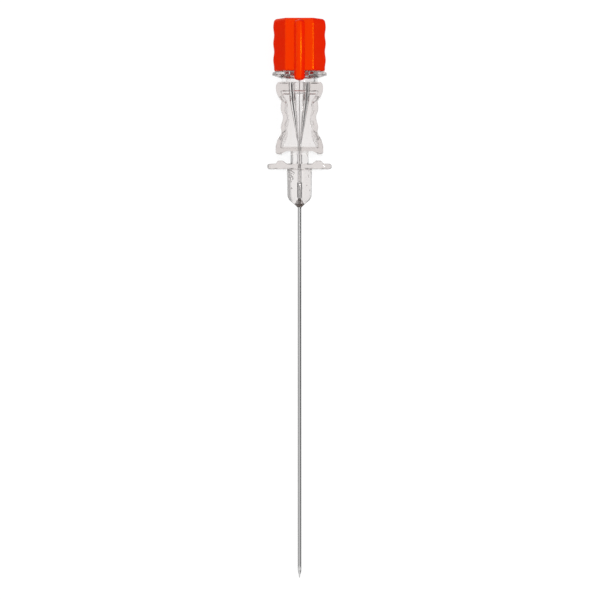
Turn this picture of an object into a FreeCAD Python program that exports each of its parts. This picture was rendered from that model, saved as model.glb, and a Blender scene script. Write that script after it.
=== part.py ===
import FreeCAD, Part
import math
import os

import Sketcher

# A spinal needle with its stylet seated. It lies on a flat surface with its key uppermost.
#
# Each piece is drawn about the needle's axis, which is the Y axis. A station is the distance from
# the mouth of the hub towards the needle's point, so a station s lies at y = -s. X is the width
# across the finger grip and +Z is the side of the key. At the end every piece gets the same
# placement, which puts the surface at z = 0 and the middle of the whole length at y = 0.

SIZES = (
    ("axis_height", 3.9, "needle axis above the surface that the needle lies on"),
    # Hub: lock flange, neck and socket
    ("lug_diameter", 7.83, "across the lock flange"),
    ("lug_drop", 0.12, "mouth rim above the flange"),
    ("lug_edge", 0.42, "flange thickness at its edge"),
    ("lug_root", 0.84, "flange thickness at the neck"),
    ("notch_width", 2.7, "notch in the flange for the key"),
    ("neck_diameter", 5.2, "outside of the neck"),
    ("neck_length", 1.65, "mouth to the top of the collar"),
    ("socket_diameter", 4.3, "conical socket at the mouth"),
    ("socket_taper", 0.06, "change of the socket's diameter over its length"),
    ("socket_depth", 1.7, "mouth to the funnel's shoulder"),
    ("mouth_chamfer", 0.12, "chamfer at the socket's mouth"),
    ("funnel_radius", 1.62, "funnel at its shoulder"),
    ("throat_radius", 1.45, "funnel where it steepens"),
    ("throat_station", 4.2, "place where the funnel steepens"),
    ("funnel_end", 10.3, "place where the funnel meets the bore"),
    ("bore_radius", 0.27, "bore below the funnel"),
    ("guide_radius", 0.2, "guide bore above the cannula"),
    ("guide_length", 2.0, "straight guide bore above the cannula"),
    ("guide_lead", 0.6, "cone from the bore to the guide bore"),
    # Hub: finger grip
    ("grip_length", 9.9, "top of the collar to the underside of the base plate"),
    ("collar_top_width", 6.1, "collar at its top edge"),
    ("collar_width", 6.76, "collar at its widest"),
    ("collar_crest", 0.85, "top of the collar to its widest place"),
    ("collar_foot", 1.9, "top of the collar to where it turns in"),
    ("collar_foot_width", 6.24, "collar where it turns in"),
    ("upper_hollow_width", 5.22, "grip under the collar"),
    ("upper_hollow_at", 2.68, "its distance from the collar's top"),
    ("upper_swell_width", 5.35, "first swell of the grip"),
    ("upper_swell_at", 3.2, "its distance from the collar's top"),
    ("upper_swell_end", 3.95, "end of the first swell from the collar's top"),
    ("middle_hollow_width", 4.75, "narrowest place of the grip"),
    ("middle_hollow_at", 5.0, "its distance from the collar's top"),
    ("lower_swell_width", 5.38, "second swell of the grip"),
    ("lower_swell_at", 6.45, "its distance from the collar's top"),
    ("lower_hollow_width", 5.18, "last hollow of the grip"),
    ("lower_hollow_at", 7.03, "its distance from the collar's top"),
    ("flare_start_width", 5.38, "grip where it starts to flare"),
    ("flare_start_at", 7.5, "its distance from the collar's top"),
    ("flare_width", 6.08, "grip half way out to the base plate"),
    ("flare_rise", 1.82, "its distance above the base plate's underside"),
    ("flare_end_width", 6.58, "grip where it meets the base plate"),
    ("base_width", 6.8, "base plate"),
    ("base_thickness", 0.53, "base plate in its middle"),
    ("base_shoulder", 1.1, "end of the flare above the base plate's underside"),
    ("base_edge", 0.45, "straight side of the base plate above its underside"),
    ("foot_drop", 0.42, "corners of the base plate below its underside"),
    ("foot_corner", 0.3, "corner radius of a hanging corner"),
    ("foot_flat", 0.28, "flat of a hanging corner"),
    ("foot_start", 3.4, "flat middle of the underside"),
    ("collar_depth", 6.8, "collar, front to back"),
    ("waist_depth", 5.9, "grip plates at their shallowest, front to back"),
    ("side_wall", 0.62, "thickness of the grip plates"),
    ("panel_top", 1.2, "top of the collar to the recessed panels"),
    ("panel_flare", 0.15, "side of a panel at its top, outside its wall"),
    ("web_top_depth", 4.9, "web under the collar, front to back"),
    ("web_foot_depth", 2.7, "web above the base plate, front to back"),
    # Hub: stem, winged flange and nose
    ("stem_diameter", 2.6, "stem under the base plate"),
    ("stem_length", 1.76, "base plate to the winged flange"),
    ("wing_width", 9.28, "across the winged flange"),
    ("wing_depth", 5.8, "winged flange, front to back"),
    ("wing_corner", 1.4, "corner radius of the winged flange"),
    ("wing_thickness", 0.78, "winged flange"),
    ("ridge_outer", 3.33, "steep side of a finger ridge, from the axis"),
    ("ridge_crest", 2.45, "inner end of a ridge's crest, from the axis"),
    ("ridge_inner", 1.75, "foot of a ridge's slope, from the axis"),
    ("ridge_height", 0.43, "finger ridge above the flange"),
    ("ridge_lean", 0.1, "lean of a ridge's steep side"),
    ("nose_top_diameter", 3.62, "nose at the winged flange"),
    ("nose_low_diameter", 3.46, "nose at the start of its cone"),
    ("nose_end_diameter", 1.6, "nose at its end"),
    ("nose_length", 4.97, "winged flange to the nose's end"),
    ("nose_cone", 0.79, "length of the nose's cone"),
    ("nose_blend", 1.3, "radius between the nose and its cone"),
    # Adhesive and cannula
    ("well_radius", 0.58, "adhesive well at the nose's end"),
    ("well_depth", 1.1, "adhesive well"),
    ("fillet_length", 0.45, "adhesive beyond the nose's end"),
    ("fillet_end_gap", 0.08, "thickness of the adhesive at its end"),
    ("cannula_diameter", 0.53, "outside of the cannula"),
    ("lumen_diameter", 0.31, "bore of the cannula"),
    ("cannula_bond", 3.12, "cannula inside the nose"),
    ("cannula_exposed", 54.05, "nose's end to the point"),
    ("bevel_angle", 12.0, "first facet to the axis, degrees"),
    ("lancet_angle", 19.0, "side facets to the axis, degrees"),
    ("lancet_turn", 60.0, "side facets turned about the axis, degrees"),
    ("lancet_lead", 0.4, "length that the side facets take off the first facet's point"),
    # Stylet
    ("wire_diameter", 0.26, "stylet wire"),
    ("wire_setback", 0.65, "wire's point behind the cannula's point"),
    ("wire_anchor", 5.0, "wire inside the cap"),
    ("cap_width", 7.56, "cap over the swells of its sides"),
    ("cap_height", 7.6, "cap above the hub's mouth"),
    ("cap_front", 3.3, "cap's front panel from the axis"),
    ("cap_panel_width", 4.0, "front and back panels of the cap"),
    ("cap_front_bevel", 1.75, "depth of the slanted front corners"),
    ("cap_back_bevel", 1.75, "depth of the slanted back corners"),
    ("cap_crown", 0.15, "rise of the cap's top in its middle"),
    ("cap_top_corner", 0.4, "corner radius of the cap's top, from the front"),
    ("cap_top_edge", 0.8, "radius of the front and back edges of the top"),
    ("cap_foot_corner", 0.3, "corner radius of the cap's foot"),
    ("swell_pitch", 2.37, "distance between the swells of the cap's sides"),
    ("swell_height", 0.06, "half of the height of a swell"),
    ("swell_first", 1.6, "lowest swell above the cap's foot"),
    ("key_radius", 0.8, "rib and key"),
    ("key_centre", 3.05, "middle of the rib from the axis"),
    ("key_drop", 1.41, "key below the mouth"),
    ("key_end_length", 0.45, "rounded ends of the rib and the key"),
    ("key_top_gap", 0.25, "rib's end below the cap's top"),
    ("key_clearance", 0.15, "key to the neck"),
    ("plug_length", 0.7, "cap's spigot in the socket"),
    ("plug_clearance", 0.05, "spigot to the socket's wall"),
)

# How far a cutting shape runs past the material it cuts.
OVERRUN = 1.0

# Edges that are closer to a place than this lie on it.
SAME_PLACE = 0.001

doc = FreeCAD.newDocument("spinal_needle")


def make_sheet():
    """The driving dimensions, one row each: alias, number, meaning."""
    sheet = doc.addObject("Spreadsheet::Sheet", "Sizes")
    for row, (alias, number, meaning) in enumerate(SIZES, start=1):
        sheet.set("A%d" % row, alias)
        sheet.set("B%d" % row, str(number))
        sheet.set("C%d" % row, meaning)
        sheet.setAlias("B%d" % row, alias)
    doc.recompute()
    return sheet


sheet = make_sheet()


def size(expression):
    """The number that an expression of the sheet's cells stands for."""
    return float(sheet.evalExpression(expression))


# Stations along the axis, from the mouth towards the point, as expressions of the sheet's cells.
NECK_END = "Sizes.neck_length"
GRIP_END = "(Sizes.neck_length + Sizes.grip_length)"
WING_FACE = "(%s + Sizes.stem_length)" % GRIP_END
WING_BACK = "(%s + Sizes.wing_thickness)" % WING_FACE
NOSE_END = "(%s + Sizes.nose_length)" % WING_BACK
NOSE_BEND = "(%s - Sizes.nose_cone)" % NOSE_END
WELL_TOP = "(%s - Sizes.well_depth)" % NOSE_END
CANNULA_TOP = "(%s - Sizes.cannula_bond)" % NOSE_END
GUIDE_TOP = "(%s - Sizes.guide_length)" % CANNULA_TOP
POINT = "(%s + Sizes.cannula_exposed)" % NOSE_END
PANEL_TOP = "(%s + Sizes.panel_top)" % NECK_END
PANEL_END = "(%s - Sizes.base_thickness)" % GRIP_END

# A thickness that goes right through the hub or the cap.
THROUGH = "4 * Sizes.axis_height"


def distance(sketch, kind, line, expression):
    """Bind one coordinate of a line's first point. A distance in a sketch is kept positive."""
    number = size(expression)
    if number >= 0:
        constraint = Sketcher.Constraint(kind, -1, 1, line, 1, number)
    else:
        constraint = Sketcher.Constraint(kind, line, 1, -1, 1, -number)
        expression = "-(%s)" % expression
    place = sketch.addConstraint(constraint)
    sketch.setExpression("Constraints[%d]" % place, expression)


def outline_sketch(body, role, name, corners):
    """A closed straight-sided sketch on one of the body's planes, with every corner bound."""
    sketch = body.newObject("Sketcher::SketchObject", name)
    plane = [feature for feature in body.Origin.OriginFeatures if feature.Role == role][0]
    sketch.AttachmentSupport = [(plane, "")]
    sketch.MapMode = "FlatFace"
    places = [FreeCAD.Vector(size(across), size(up), 0) for across, up in corners]
    count = len(corners)
    for line in range(count):
        edge = Part.LineSegment(places[line], places[(line + 1) % count])
        sketch.addGeometry(edge, False)
    for line in range(count):
        sketch.addConstraint(Sketcher.Constraint("Coincident", line, 2, (line + 1) % count, 1))
    for line, (across, up) in enumerate(corners):
        distance(sketch, "DistanceX", line, across)
        distance(sketch, "DistanceY", line, up)
    return sketch


def turned(name, corners):
    """A body turned about the needle's axis. Each corner is a radius and a station."""
    body = doc.addObject("PartDesign::Body", name)
    flipped = [(radius, "-(%s)" % station) for radius, station in corners]
    sketch = outline_sketch(body, "XY_Plane", name + "_profile", flipped)
    turn = body.newObject("PartDesign::Revolution", name + "_turn")
    turn.Profile = (sketch, [""])
    turn.ReferenceAxis = (sketch, ["V_Axis"])
    turn.Angle = 360
    return body


def slab(name, role, corners, thickness):
    """A body padded to both sides of one of its planes."""
    body = doc.addObject("PartDesign::Body", name)
    sketch = outline_sketch(body, role, name + "_profile", corners)
    pad = body.newObject("PartDesign::Pad", name + "_pad")
    pad.Profile = (sketch, [""])
    pad.Midplane = True
    pad.setExpression("Length", thickness)
    return body


def extruded(name, face, direction, thickness):
    """A drawn face extruded to both sides of its plane."""
    drawing = doc.addObject("Part::Feature", name + "_face")
    drawing.Shape = face
    solid = doc.addObject("Part::Extrusion", name)
    solid.Base = drawing
    solid.DirMode = "Custom"
    solid.Dir = direction
    solid.Solid = True
    solid.Symmetric = True
    solid.setExpression("LengthFwd", thickness)
    return solid


def fused(name, pieces):
    joined = doc.addObject("Part::MultiFuse", name)
    joined.Shapes = pieces
    joined.Refine = True
    return joined


def common(name, pieces):
    shared = doc.addObject("Part::MultiCommon", name)
    shared.Shapes = pieces
    return shared


def cut(name, base, tool):
    rest = doc.addObject("Part::Cut", name)
    rest.Base = base
    rest.Tool = tool
    return rest


def box(name, low, spans):
    """A box from its low corner and its three spans, all expressions."""
    block = doc.addObject("Part::Box", name)
    for axis, expression in zip("xyz", low):
        block.setExpression("Placement.Base." + axis, expression)
    for side, expression in zip(("Length", "Width", "Height"), spans):
        block.setExpression(side, expression)
    return block


def along_axis(solid, station, height="0"):
    """Stand a cylinder or cone on a station so that it runs up the needle's axis, along +Y."""
    solid.Placement.Rotation = FreeCAD.Rotation(FreeCAD.Vector(1, 0, 0), -90)
    solid.setExpression("Placement.Base.y", "-(%s)" % station)
    solid.setExpression("Placement.Base.z", height)
    return solid


def cylinder(name, radius, station, length, height="0"):
    rod = doc.addObject("Part::Cylinder", name)
    rod.setExpression("Radius", radius)
    rod.setExpression("Height", length)
    return along_axis(rod, station, height)


def front(across, station):
    """A place in the front view."""
    return FreeCAD.Vector(across, -station, 0)


def mirrored(edges):
    """The same edges on the other side of the axis, in the order that closes the outline."""
    flip = FreeCAD.Matrix()
    flip.A11 = -1
    return [edge.transformGeometry(flip) for edge in reversed(edges)]


def line(start, end):
    return Part.LineSegment(start, end).toShape()


def smooth(places, start_way=None, end_way=None):
    """One smooth curve through the places, with its end directions where they matter."""
    curve = Part.BSplineCurve()
    if start_way is None:
        curve.interpolate(places)
    else:
        curve.interpolate(Points=places, InitialTangent=start_way, FinalTangent=end_way)
    return curve.toShape()


def round_corner(centre, radius, start_angle, end_angle):
    """An arc about a centre in the front view, between two angles in degrees."""
    places = []
    for angle in (start_angle, (start_angle + end_angle) / 2, end_angle):
        turn = math.radians(angle)
        offset = FreeCAD.Vector(radius * math.cos(turn), radius * math.sin(turn), 0)
        places.append(centre + offset)
    return Part.Arc(*places).toShape()


def face_of(edges):
    return Part.Face(Part.Wire(Part.__sortEdges__(edges)))


# Hub


def grip_side(inset):
    """The places down the right side of the grip, moved in by a wall, as far as the base plate."""
    top = size(NECK_END)
    bottom = size(GRIP_END)
    places = (
        ("collar_width", top + size("Sizes.collar_crest")),
        ("collar_foot_width", top + size("Sizes.collar_foot")),
        ("upper_hollow_width", top + size("Sizes.upper_hollow_at")),
        ("upper_swell_width", top + size("Sizes.upper_swell_at")),
        ("upper_swell_width", top + size("Sizes.upper_swell_end")),
        ("middle_hollow_width", top + size("Sizes.middle_hollow_at")),
        ("lower_swell_width", top + size("Sizes.lower_swell_at")),
        ("lower_hollow_width", top + size("Sizes.lower_hollow_at")),
        ("flare_start_width", top + size("Sizes.flare_start_at")),
        ("flare_width", bottom - size("Sizes.flare_rise")),
        ("flare_end_width", bottom - size("Sizes.base_shoulder")),
        ("base_width", bottom - size("Sizes.base_edge")),
    )
    return [front(size("Sizes." + name) / 2 - inset, station) for name, station in places]


def grip_front_face():
    """Front outline of the grip: collar, wavy sides and the base plate with its hanging corners."""
    top = size(NECK_END)
    bottom = size(GRIP_END)
    down = FreeCAD.Vector(0, -1, 0)
    side = grip_side(0)
    shoulder = front(size("Sizes.collar_top_width / 2"), top)
    half_base = size("Sizes.base_width / 2")
    foot_low = bottom + size("Sizes.foot_drop")
    foot_corner = size("Sizes.foot_corner")
    flat_end = front(size("Sizes.foot_start / 2"), bottom)
    foot_inner = front(half_base - foot_corner - size("Sizes.foot_flat"), foot_low)
    half = [
        line(front(0, top), shoulder),
        smooth([shoulder, side[0]], FreeCAD.Vector(1, -1, 0), down),
        smooth(side, down, down),
        line(side[-1], front(half_base, foot_low - foot_corner)),
        round_corner(front(half_base - foot_corner, foot_low - foot_corner), foot_corner, 0, -90),
        line(front(half_base - foot_corner, foot_low), foot_inner),
        smooth([foot_inner, flat_end], FreeCAD.Vector(-1, 0, 0), FreeCAD.Vector(-1, 0, 0)),
        line(flat_end, front(0, bottom)),
    ]
    return face_of(half + mirrored(half))


def grip_depth_face():
    """Side outline of the grip: deep at the collar, hollowed for the fingers, deepest at the base."""
    top = size(NECK_END)
    collar_low = size(PANEL_TOP)
    base_top = size("%s - Sizes.base_shoulder" % GRIP_END)
    low = size("%s + Sizes.foot_drop" % GRIP_END) + OVERRUN
    collar = size("Sizes.collar_depth / 2")
    waist = size("Sizes.waist_depth / 2")
    base = size("Sizes.axis_height")
    middle = (collar_low + base_top) / 2

    def side(station, depth):
        return FreeCAD.Vector(0, -station, depth)

    edges = [
        line(side(top, -collar), side(top, collar)),
        line(side(low, base), side(low, -base)),
    ]
    for sign in (1, -1):
        hollow = Part.Arc(
            side(collar_low, sign * collar),
            side(middle, sign * waist),
            side(base_top, sign * base),
        )
        edges.append(line(side(top, sign * collar), side(collar_low, sign * collar)))
        edges.append(hollow.toShape())
        edges.append(line(side(base_top, sign * base), side(low, sign * base)))
    return face_of(edges)


def panel_face():
    """Outline of the recessed panels, one wall inside the grip's own outline."""
    top = size(PANEL_TOP)
    end = size(PANEL_END)
    wall = size("Sizes.side_wall")
    down = FreeCAD.Vector(0, -1, 0)
    side = grip_side(wall)[1:-1]
    upper = front(side[0].x + size("Sizes.panel_flare"), top)
    half = [
        line(front(0, top), upper),
        smooth([upper] + side, down, down),
        line(side[-1], front(side[-1].x, end)),
        line(front(side[-1].x, end), front(0, end)),
    ]
    return face_of(half + mirrored(half))


def wing_front_face():
    """Front outline of the winged flange: rounded ends and a finger ridge on each side."""
    top = size(WING_FACE)
    back = size(WING_BACK)
    radius = (back - top) / 2
    end = size("Sizes.wing_width / 2") - radius
    crest = top - size("Sizes.ridge_height")
    outer = size("Sizes.ridge_outer")
    crest_outer = outer - size("Sizes.ridge_lean")
    crest_inner = size("Sizes.ridge_crest")
    inner = size("Sizes.ridge_inner")
    inward = FreeCAD.Vector(-1, 0, 0)
    half = [
        line(front(0, back), front(end, back)),
        round_corner(front(end, (top + back) / 2), radius, -90, 90),
        line(front(end, top), front(outer, top)),
        line(front(outer, top), front(crest_outer, crest)),
        line(front(crest_outer, crest), front(crest_inner, crest)),
        smooth([front(crest_inner, crest), front(inner, top)], inward, inward),
        line(front(inner, top), front(0, top)),
    ]
    return face_of(half + mirrored(half))


def wing_plan_face():
    """The winged flange seen along the needle: a rectangle with round corners."""
    half_width = size("Sizes.wing_width / 2")
    half_depth = size("Sizes.wing_depth / 2")
    radius = size("Sizes.wing_corner")
    station = size(WING_FACE)
    edges = []
    for side in (1, -1):
        for level in (1, -1):
            centre_x = side * (half_width - radius)
            centre_z = level * (half_depth - radius)
            reach = radius * math.sqrt(0.5)
            edges.append(
                Part.Arc(
                    FreeCAD.Vector(side * half_width, -station, centre_z),
                    FreeCAD.Vector(centre_x + side * reach, -station, centre_z + level * reach),
                    FreeCAD.Vector(centre_x, -station, level * half_depth),
                ).toShape()
            )
        straight = half_depth - radius
        edges.append(
            line(
                FreeCAD.Vector(side * half_width, -station, -straight),
                FreeCAD.Vector(side * half_width, -station, straight),
            )
        )
        run = half_width - radius
        edges.append(
            line(
                FreeCAD.Vector(-run, -station, side * half_depth),
                FreeCAD.Vector(run, -station, side * half_depth),
            )
        )
    return face_of(edges)


def make_grip():
    """Collar, two wavy grip plates, a wedge-shaped web between them, and the base plate."""
    block = common(
        "grip_block",
        [
            extruded("grip_front", grip_front_face(), FreeCAD.Vector(0, 0, 1), THROUGH),
            extruded("grip_depth", grip_depth_face(), FreeCAD.Vector(1, 0, 0), THROUGH),
        ],
    )
    recess = extruded("panel_recess", panel_face(), FreeCAD.Vector(0, 0, 1), THROUGH)
    web = slab(
        "web",
        "YZ_Plane",
        (
            ("-(%s - %s)" % (PANEL_TOP, OVERRUN), "Sizes.web_top_depth / 2"),
            ("-(%s + %s)" % (PANEL_END, OVERRUN), "Sizes.web_foot_depth / 2"),
            ("-(%s + %s)" % (PANEL_END, OVERRUN), "-(Sizes.web_foot_depth / 2)"),
            ("-(%s - %s)" % (PANEL_TOP, OVERRUN), "-(Sizes.web_top_depth / 2)"),
        ),
        THROUGH,
    )
    return cut("grip", block, cut("panels", recess, web))


def make_wing():
    return common(
        "wing",
        [
            extruded("wing_front", wing_front_face(), FreeCAD.Vector(0, 0, 1), "2 * Sizes.wing_depth"),
            extruded("wing_plan", wing_plan_face(), FreeCAD.Vector(0, 1, 0), "Sizes.wing_width"),
        ],
    )


def make_hub_core():
    """Everything round on the hub's outside: flange, neck, stem and nose."""
    lug_low = "(Sizes.lug_drop + Sizes.lug_root)"
    neck_foot = "(%s + Sizes.panel_top / 2)" % NECK_END
    wing_middle = "(%s + Sizes.wing_thickness / 2)" % WING_FACE
    neck = "Sizes.neck_diameter / 2"
    lug = "Sizes.lug_diameter / 2"
    stem = "Sizes.stem_diameter / 2"
    body = turned(
        "hub_core",
        (
            ("0", "0"),
            (neck, "0"),
            (neck, "Sizes.lug_drop"),
            (lug, "Sizes.lug_drop"),
            (lug, "Sizes.lug_drop + Sizes.lug_edge"),
            (neck, lug_low),
            (neck, neck_foot),
            (stem, neck_foot),
            (stem, wing_middle),
            ("Sizes.nose_top_diameter / 2", wing_middle),
            ("Sizes.nose_low_diameter / 2", NOSE_BEND),
            ("Sizes.nose_end_diameter / 2", NOSE_END),
            ("0", NOSE_END),
        ),
    )
    doc.recompute()
    turn = body.Tip
    bend = size(NOSE_BEND)
    for number, edge in enumerate(turn.Shape.Edges, start=1):
        box_of_edge = edge.BoundBox
        flat = box_of_edge.YLength < SAME_PLACE
        if flat and abs(box_of_edge.YMin + bend) < SAME_PLACE:
            bend_name = "Edge%d" % number
    blend = body.newObject("PartDesign::Fillet", "nose_blend")
    blend.Base = (turn, [bend_name])
    blend.setExpression("Radius", "Sizes.nose_blend")
    body.Tip = blend
    return body


def make_bore():
    """The way through the hub: conical socket, two-stage funnel, bore, guide and adhesive well."""
    mouth = "(Sizes.socket_diameter / 2)"
    shoulder = "(%s - Sizes.socket_taper / 2 * Sizes.socket_depth)" % mouth
    return turned(
        "bore",
        (
            ("0", "-(%s)" % OVERRUN),
            (mouth + " + Sizes.mouth_chamfer", "-(%s)" % OVERRUN),
            (mouth + " + Sizes.mouth_chamfer", "0"),
            (mouth, "Sizes.mouth_chamfer"),
            (shoulder, "Sizes.socket_depth"),
            ("Sizes.funnel_radius", "Sizes.socket_depth"),
            ("Sizes.throat_radius", "Sizes.throat_station"),
            ("Sizes.bore_radius", "Sizes.funnel_end"),
            ("Sizes.bore_radius", "%s - Sizes.guide_lead" % GUIDE_TOP),
            ("Sizes.guide_radius", GUIDE_TOP),
            ("Sizes.guide_radius", CANNULA_TOP),
            ("Sizes.cannula_diameter / 2", CANNULA_TOP),
            ("Sizes.cannula_diameter / 2", WELL_TOP),
            ("Sizes.well_radius", NOSE_END),
            ("Sizes.well_radius", "%s + %s" % (NOSE_END, OVERRUN)),
            ("0", "%s + %s" % (NOSE_END, OVERRUN)),
        ),
    )


def make_notch(name, low_height):
    """A notch through the lock flange, as deep as the neck."""
    return box(
        name,
        (
            "-(Sizes.notch_width / 2)",
            "-(Sizes.lug_drop + Sizes.lug_root)",
            low_height,
        ),
        (
            "Sizes.notch_width",
            "Sizes.lug_drop + Sizes.lug_root + %s" % OVERRUN,
            "Sizes.lug_diameter / 2",
        ),
    )


def make_hub():
    solid = fused("hub_blank", [make_hub_core(), make_grip(), make_wing()])
    neck = "Sizes.neck_diameter / 2"
    tools = fused(
        "hub_openings",
        [
            make_bore(),
            make_notch("key_notch", neck),
            make_notch("back_notch", "-(%s + Sizes.lug_diameter / 2)" % neck),
        ],
    )
    return cut("hub", solid, tools)


# Cannula and adhesive


def grinding_tool(name, angle, turn, station):
    """The wedge that one facet's wheel takes off, hinged at the back of the tube at a station."""
    reach = "(Sizes.cannula_diameter / tan(%s * 1deg) + %s)" % (angle, OVERRUN)
    rise = "(%s * tan(%s * 1deg))" % (reach, angle)
    start = "(%s * tan(%s * 1deg))" % (OVERRUN, angle)
    top = "(%s + %s)" % (rise, OVERRUN)
    wedge = slab(
        name,
        "YZ_Plane",
        (
            ("-(%s)" % OVERRUN, "-%s" % start),
            (reach, rise),
            (reach, top),
            ("-(%s)" % OVERRUN, top),
        ),
        "8 * Sizes.cannula_diameter",
    )
    wedge.Placement.Rotation = FreeCAD.Rotation(FreeCAD.Vector(0, 1, 0), 0)
    wedge.setExpression("Placement.Rotation.Angle", turn)
    wedge.setExpression("Placement.Base.y", "-(%s)" % station)
    wedge.setExpression("Placement.Base.z", "-(Sizes.cannula_diameter / 2)")
    return wedge


def make_cannula():
    outer = "Sizes.cannula_diameter / 2"
    lumen = "Sizes.lumen_diameter / 2"
    tube = turned(
        "tube",
        ((lumen, CANNULA_TOP), (outer, CANNULA_TOP), (outer, POINT), (lumen, POINT)),
    )
    facets = fused(
        "facets",
        [
            grinding_tool("first_facet", "Sizes.bevel_angle", "0", POINT + " + Sizes.lancet_lead"),
            grinding_tool("left_facet", "Sizes.lancet_angle", "-Sizes.lancet_turn", POINT),
            grinding_tool("right_facet", "Sizes.lancet_angle", "Sizes.lancet_turn", POINT),
        ],
    )
    return cut("cannula", tube, facets)


def make_adhesive():
    """Adhesive that fills the well round the cannula and runs out in a fillet."""
    tube = "Sizes.cannula_diameter / 2"
    end = "%s + Sizes.fillet_length" % NOSE_END
    return turned(
        "adhesive",
        (
            (tube, WELL_TOP),
            ("Sizes.well_radius", NOSE_END),
            ("Sizes.nose_end_diameter / 2", NOSE_END),
            (tube + " + Sizes.fillet_end_gap", end),
            (tube, end),
        ),
    )


# Stylet


def make_wire():
    radius = "Sizes.wire_diameter / 2"
    rod = turned(
        "rod",
        (("0", "-Sizes.wire_anchor"), (radius, "-Sizes.wire_anchor"), (radius, POINT), ("0", POINT)),
    )
    place = POINT + " + Sizes.lancet_lead - Sizes.wire_setback"
    return cut("stylet_wire", rod, grinding_tool("wire_facet", "Sizes.bevel_angle", "0", place))


def cap_front_face():
    """Front outline of the cap: swelling sides, rounded corners and a slightly crowned top."""
    height = size("Sizes.cap_height")
    crown = size("Sizes.cap_crown")
    corner = size("Sizes.cap_top_corner")
    foot = size("Sizes.cap_foot_corner")
    pitch = size("Sizes.swell_pitch")
    rise = size("Sizes.swell_height")
    middle = size("Sizes.cap_width / 2") - rise
    first = size("Sizes.swell_first")

    def side(level):
        wave = rise * math.cos(2 * math.pi * (level - first) / pitch)
        return FreeCAD.Vector(middle + wave, level, 0)

    low = foot
    high = height - crown - corner
    steps = 4 * round((high - low) / pitch)
    wavy = [side(low + (high - low) * step / steps) for step in range(steps + 1)]
    foot_centre = FreeCAD.Vector(wavy[0].x - foot, foot, 0)
    top_centre = FreeCAD.Vector(wavy[-1].x - corner, high, 0)
    top_end = top_centre + FreeCAD.Vector(0, corner, 0)
    crown_way = Part.Arc(
        top_end,
        FreeCAD.Vector(0, height, 0),
        FreeCAD.Vector(-top_end.x, top_end.y, 0),
    )
    half = [
        line(FreeCAD.Vector(0, 0, 0), FreeCAD.Vector(foot_centre.x, 0, 0)),
        round_corner(foot_centre, foot, -90, 0),
        smooth(wavy),
        round_corner(top_centre, corner, 0, 90),
    ]
    return face_of(half + [crown_way.toShape()] + mirrored(half))


def cap_side_face():
    """Side outline of the cap, with the front and back edges of its top rounded."""
    height = size("Sizes.cap_height")
    radius = size("Sizes.cap_top_edge")
    front_z = size("Sizes.cap_front")
    back_z = -size("Sizes.axis_height")
    reach = radius * math.sqrt(0.5)

    def place(level, depth):
        return FreeCAD.Vector(0, level, depth)

    edges = [
        line(place(0, back_z), place(0, front_z)),
        line(place(0, front_z), place(height - radius, front_z)),
        line(place(height, front_z - radius), place(height, back_z + radius)),
        line(place(height - radius, back_z), place(0, back_z)),
    ]
    for sign, outer in ((1, front_z), (-1, back_z)):
        centre = outer - sign * radius
        corner = Part.Arc(
            place(height - radius, outer),
            place(height - radius + reach, centre + sign * reach),
            place(height, centre),
        )
        edges.append(corner.toShape())
    return face_of(edges)


def make_cap_block():
    """The cap's grip: eight-sided along the needle, with swelling sides."""
    half = "Sizes.cap_width / 2"
    panel = "Sizes.cap_panel_width / 2"
    top = "Sizes.cap_front"
    top_side = "Sizes.cap_front - Sizes.cap_front_bevel"
    low = "-Sizes.axis_height"
    low_side = "-Sizes.axis_height + Sizes.cap_back_bevel"
    plan = slab(
        "cap_plan",
        "XZ_Plane",
        (
            (panel, top),
            (half, top_side),
            (half, low_side),
            (panel, low),
            ("-(%s)" % panel, low),
            ("-(%s)" % half, low_side),
            ("-(%s)" % half, top_side),
            ("-(%s)" % panel, top),
        ),
        "2 * (Sizes.cap_height + %s)" % OVERRUN,
    )
    return common(
        "cap_block",
        [
            plan,
            extruded("cap_front_view", cap_front_face(), FreeCAD.Vector(0, 0, 1), THROUGH),
            extruded("cap_side_view", cap_side_face(), FreeCAD.Vector(1, 0, 0), THROUGH),
        ],
    )


def make_key():
    """The rib down the cap's front, which goes on below it as the key."""
    end = "(Sizes.key_drop - Sizes.key_end_length)"
    top = "(Sizes.cap_height - Sizes.key_top_gap - Sizes.key_end_length)"
    radius = "Sizes.key_radius"
    centre = "Sizes.key_centre"
    shaft = cylinder("rib", radius, end, "%s + %s" % (top, end), centre)
    ends = []
    for name, level in (("key_end", "-%s" % end), ("rib_end", top)):
        ball = doc.addObject("Part::Ellipsoid", name)
        ball.setExpression("Radius1", radius)
        ball.setExpression("Radius2", radius)
        ball.setExpression("Radius3", "Sizes.key_end_length")
        ball.setExpression("Placement.Base.y", level)
        ball.setExpression("Placement.Base.z", centre)
        ends.append(ball)
    relief = box(
        "neck_relief",
        ("-Sizes.cap_width / 2", "-Sizes.key_drop - %s" % OVERRUN, "-Sizes.axis_height"),
        (
            "Sizes.cap_width",
            "Sizes.key_drop + %s" % OVERRUN,
            "Sizes.axis_height + Sizes.neck_diameter / 2 + Sizes.key_clearance",
        ),
    )
    return cut("key", fused("key_blank", [shaft] + ends), relief)


def make_plug():
    """The short conical spigot that centres the cap in the socket."""
    mouth = "(Sizes.socket_diameter / 2 - Sizes.plug_clearance)"
    plug = doc.addObject("Part::Cone", "plug")
    plug.setExpression("Radius1", "%s - Sizes.socket_taper / 2 * Sizes.plug_length" % mouth)
    plug.setExpression("Radius2", mouth)
    plug.setExpression("Height", "Sizes.plug_length")
    return along_axis(plug, "Sizes.plug_length")


def make_cap():
    blank = fused("cap_blank", [make_cap_block(), make_key(), make_plug()])
    hole = cylinder(
        "wire_hole",
        "Sizes.wire_diameter / 2",
        "Sizes.plug_length + %s" % OVERRUN,
        "Sizes.plug_length + %s + Sizes.wire_anchor" % OVERRUN,
    )
    return cut("stylet_cap", blank, hole)


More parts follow.
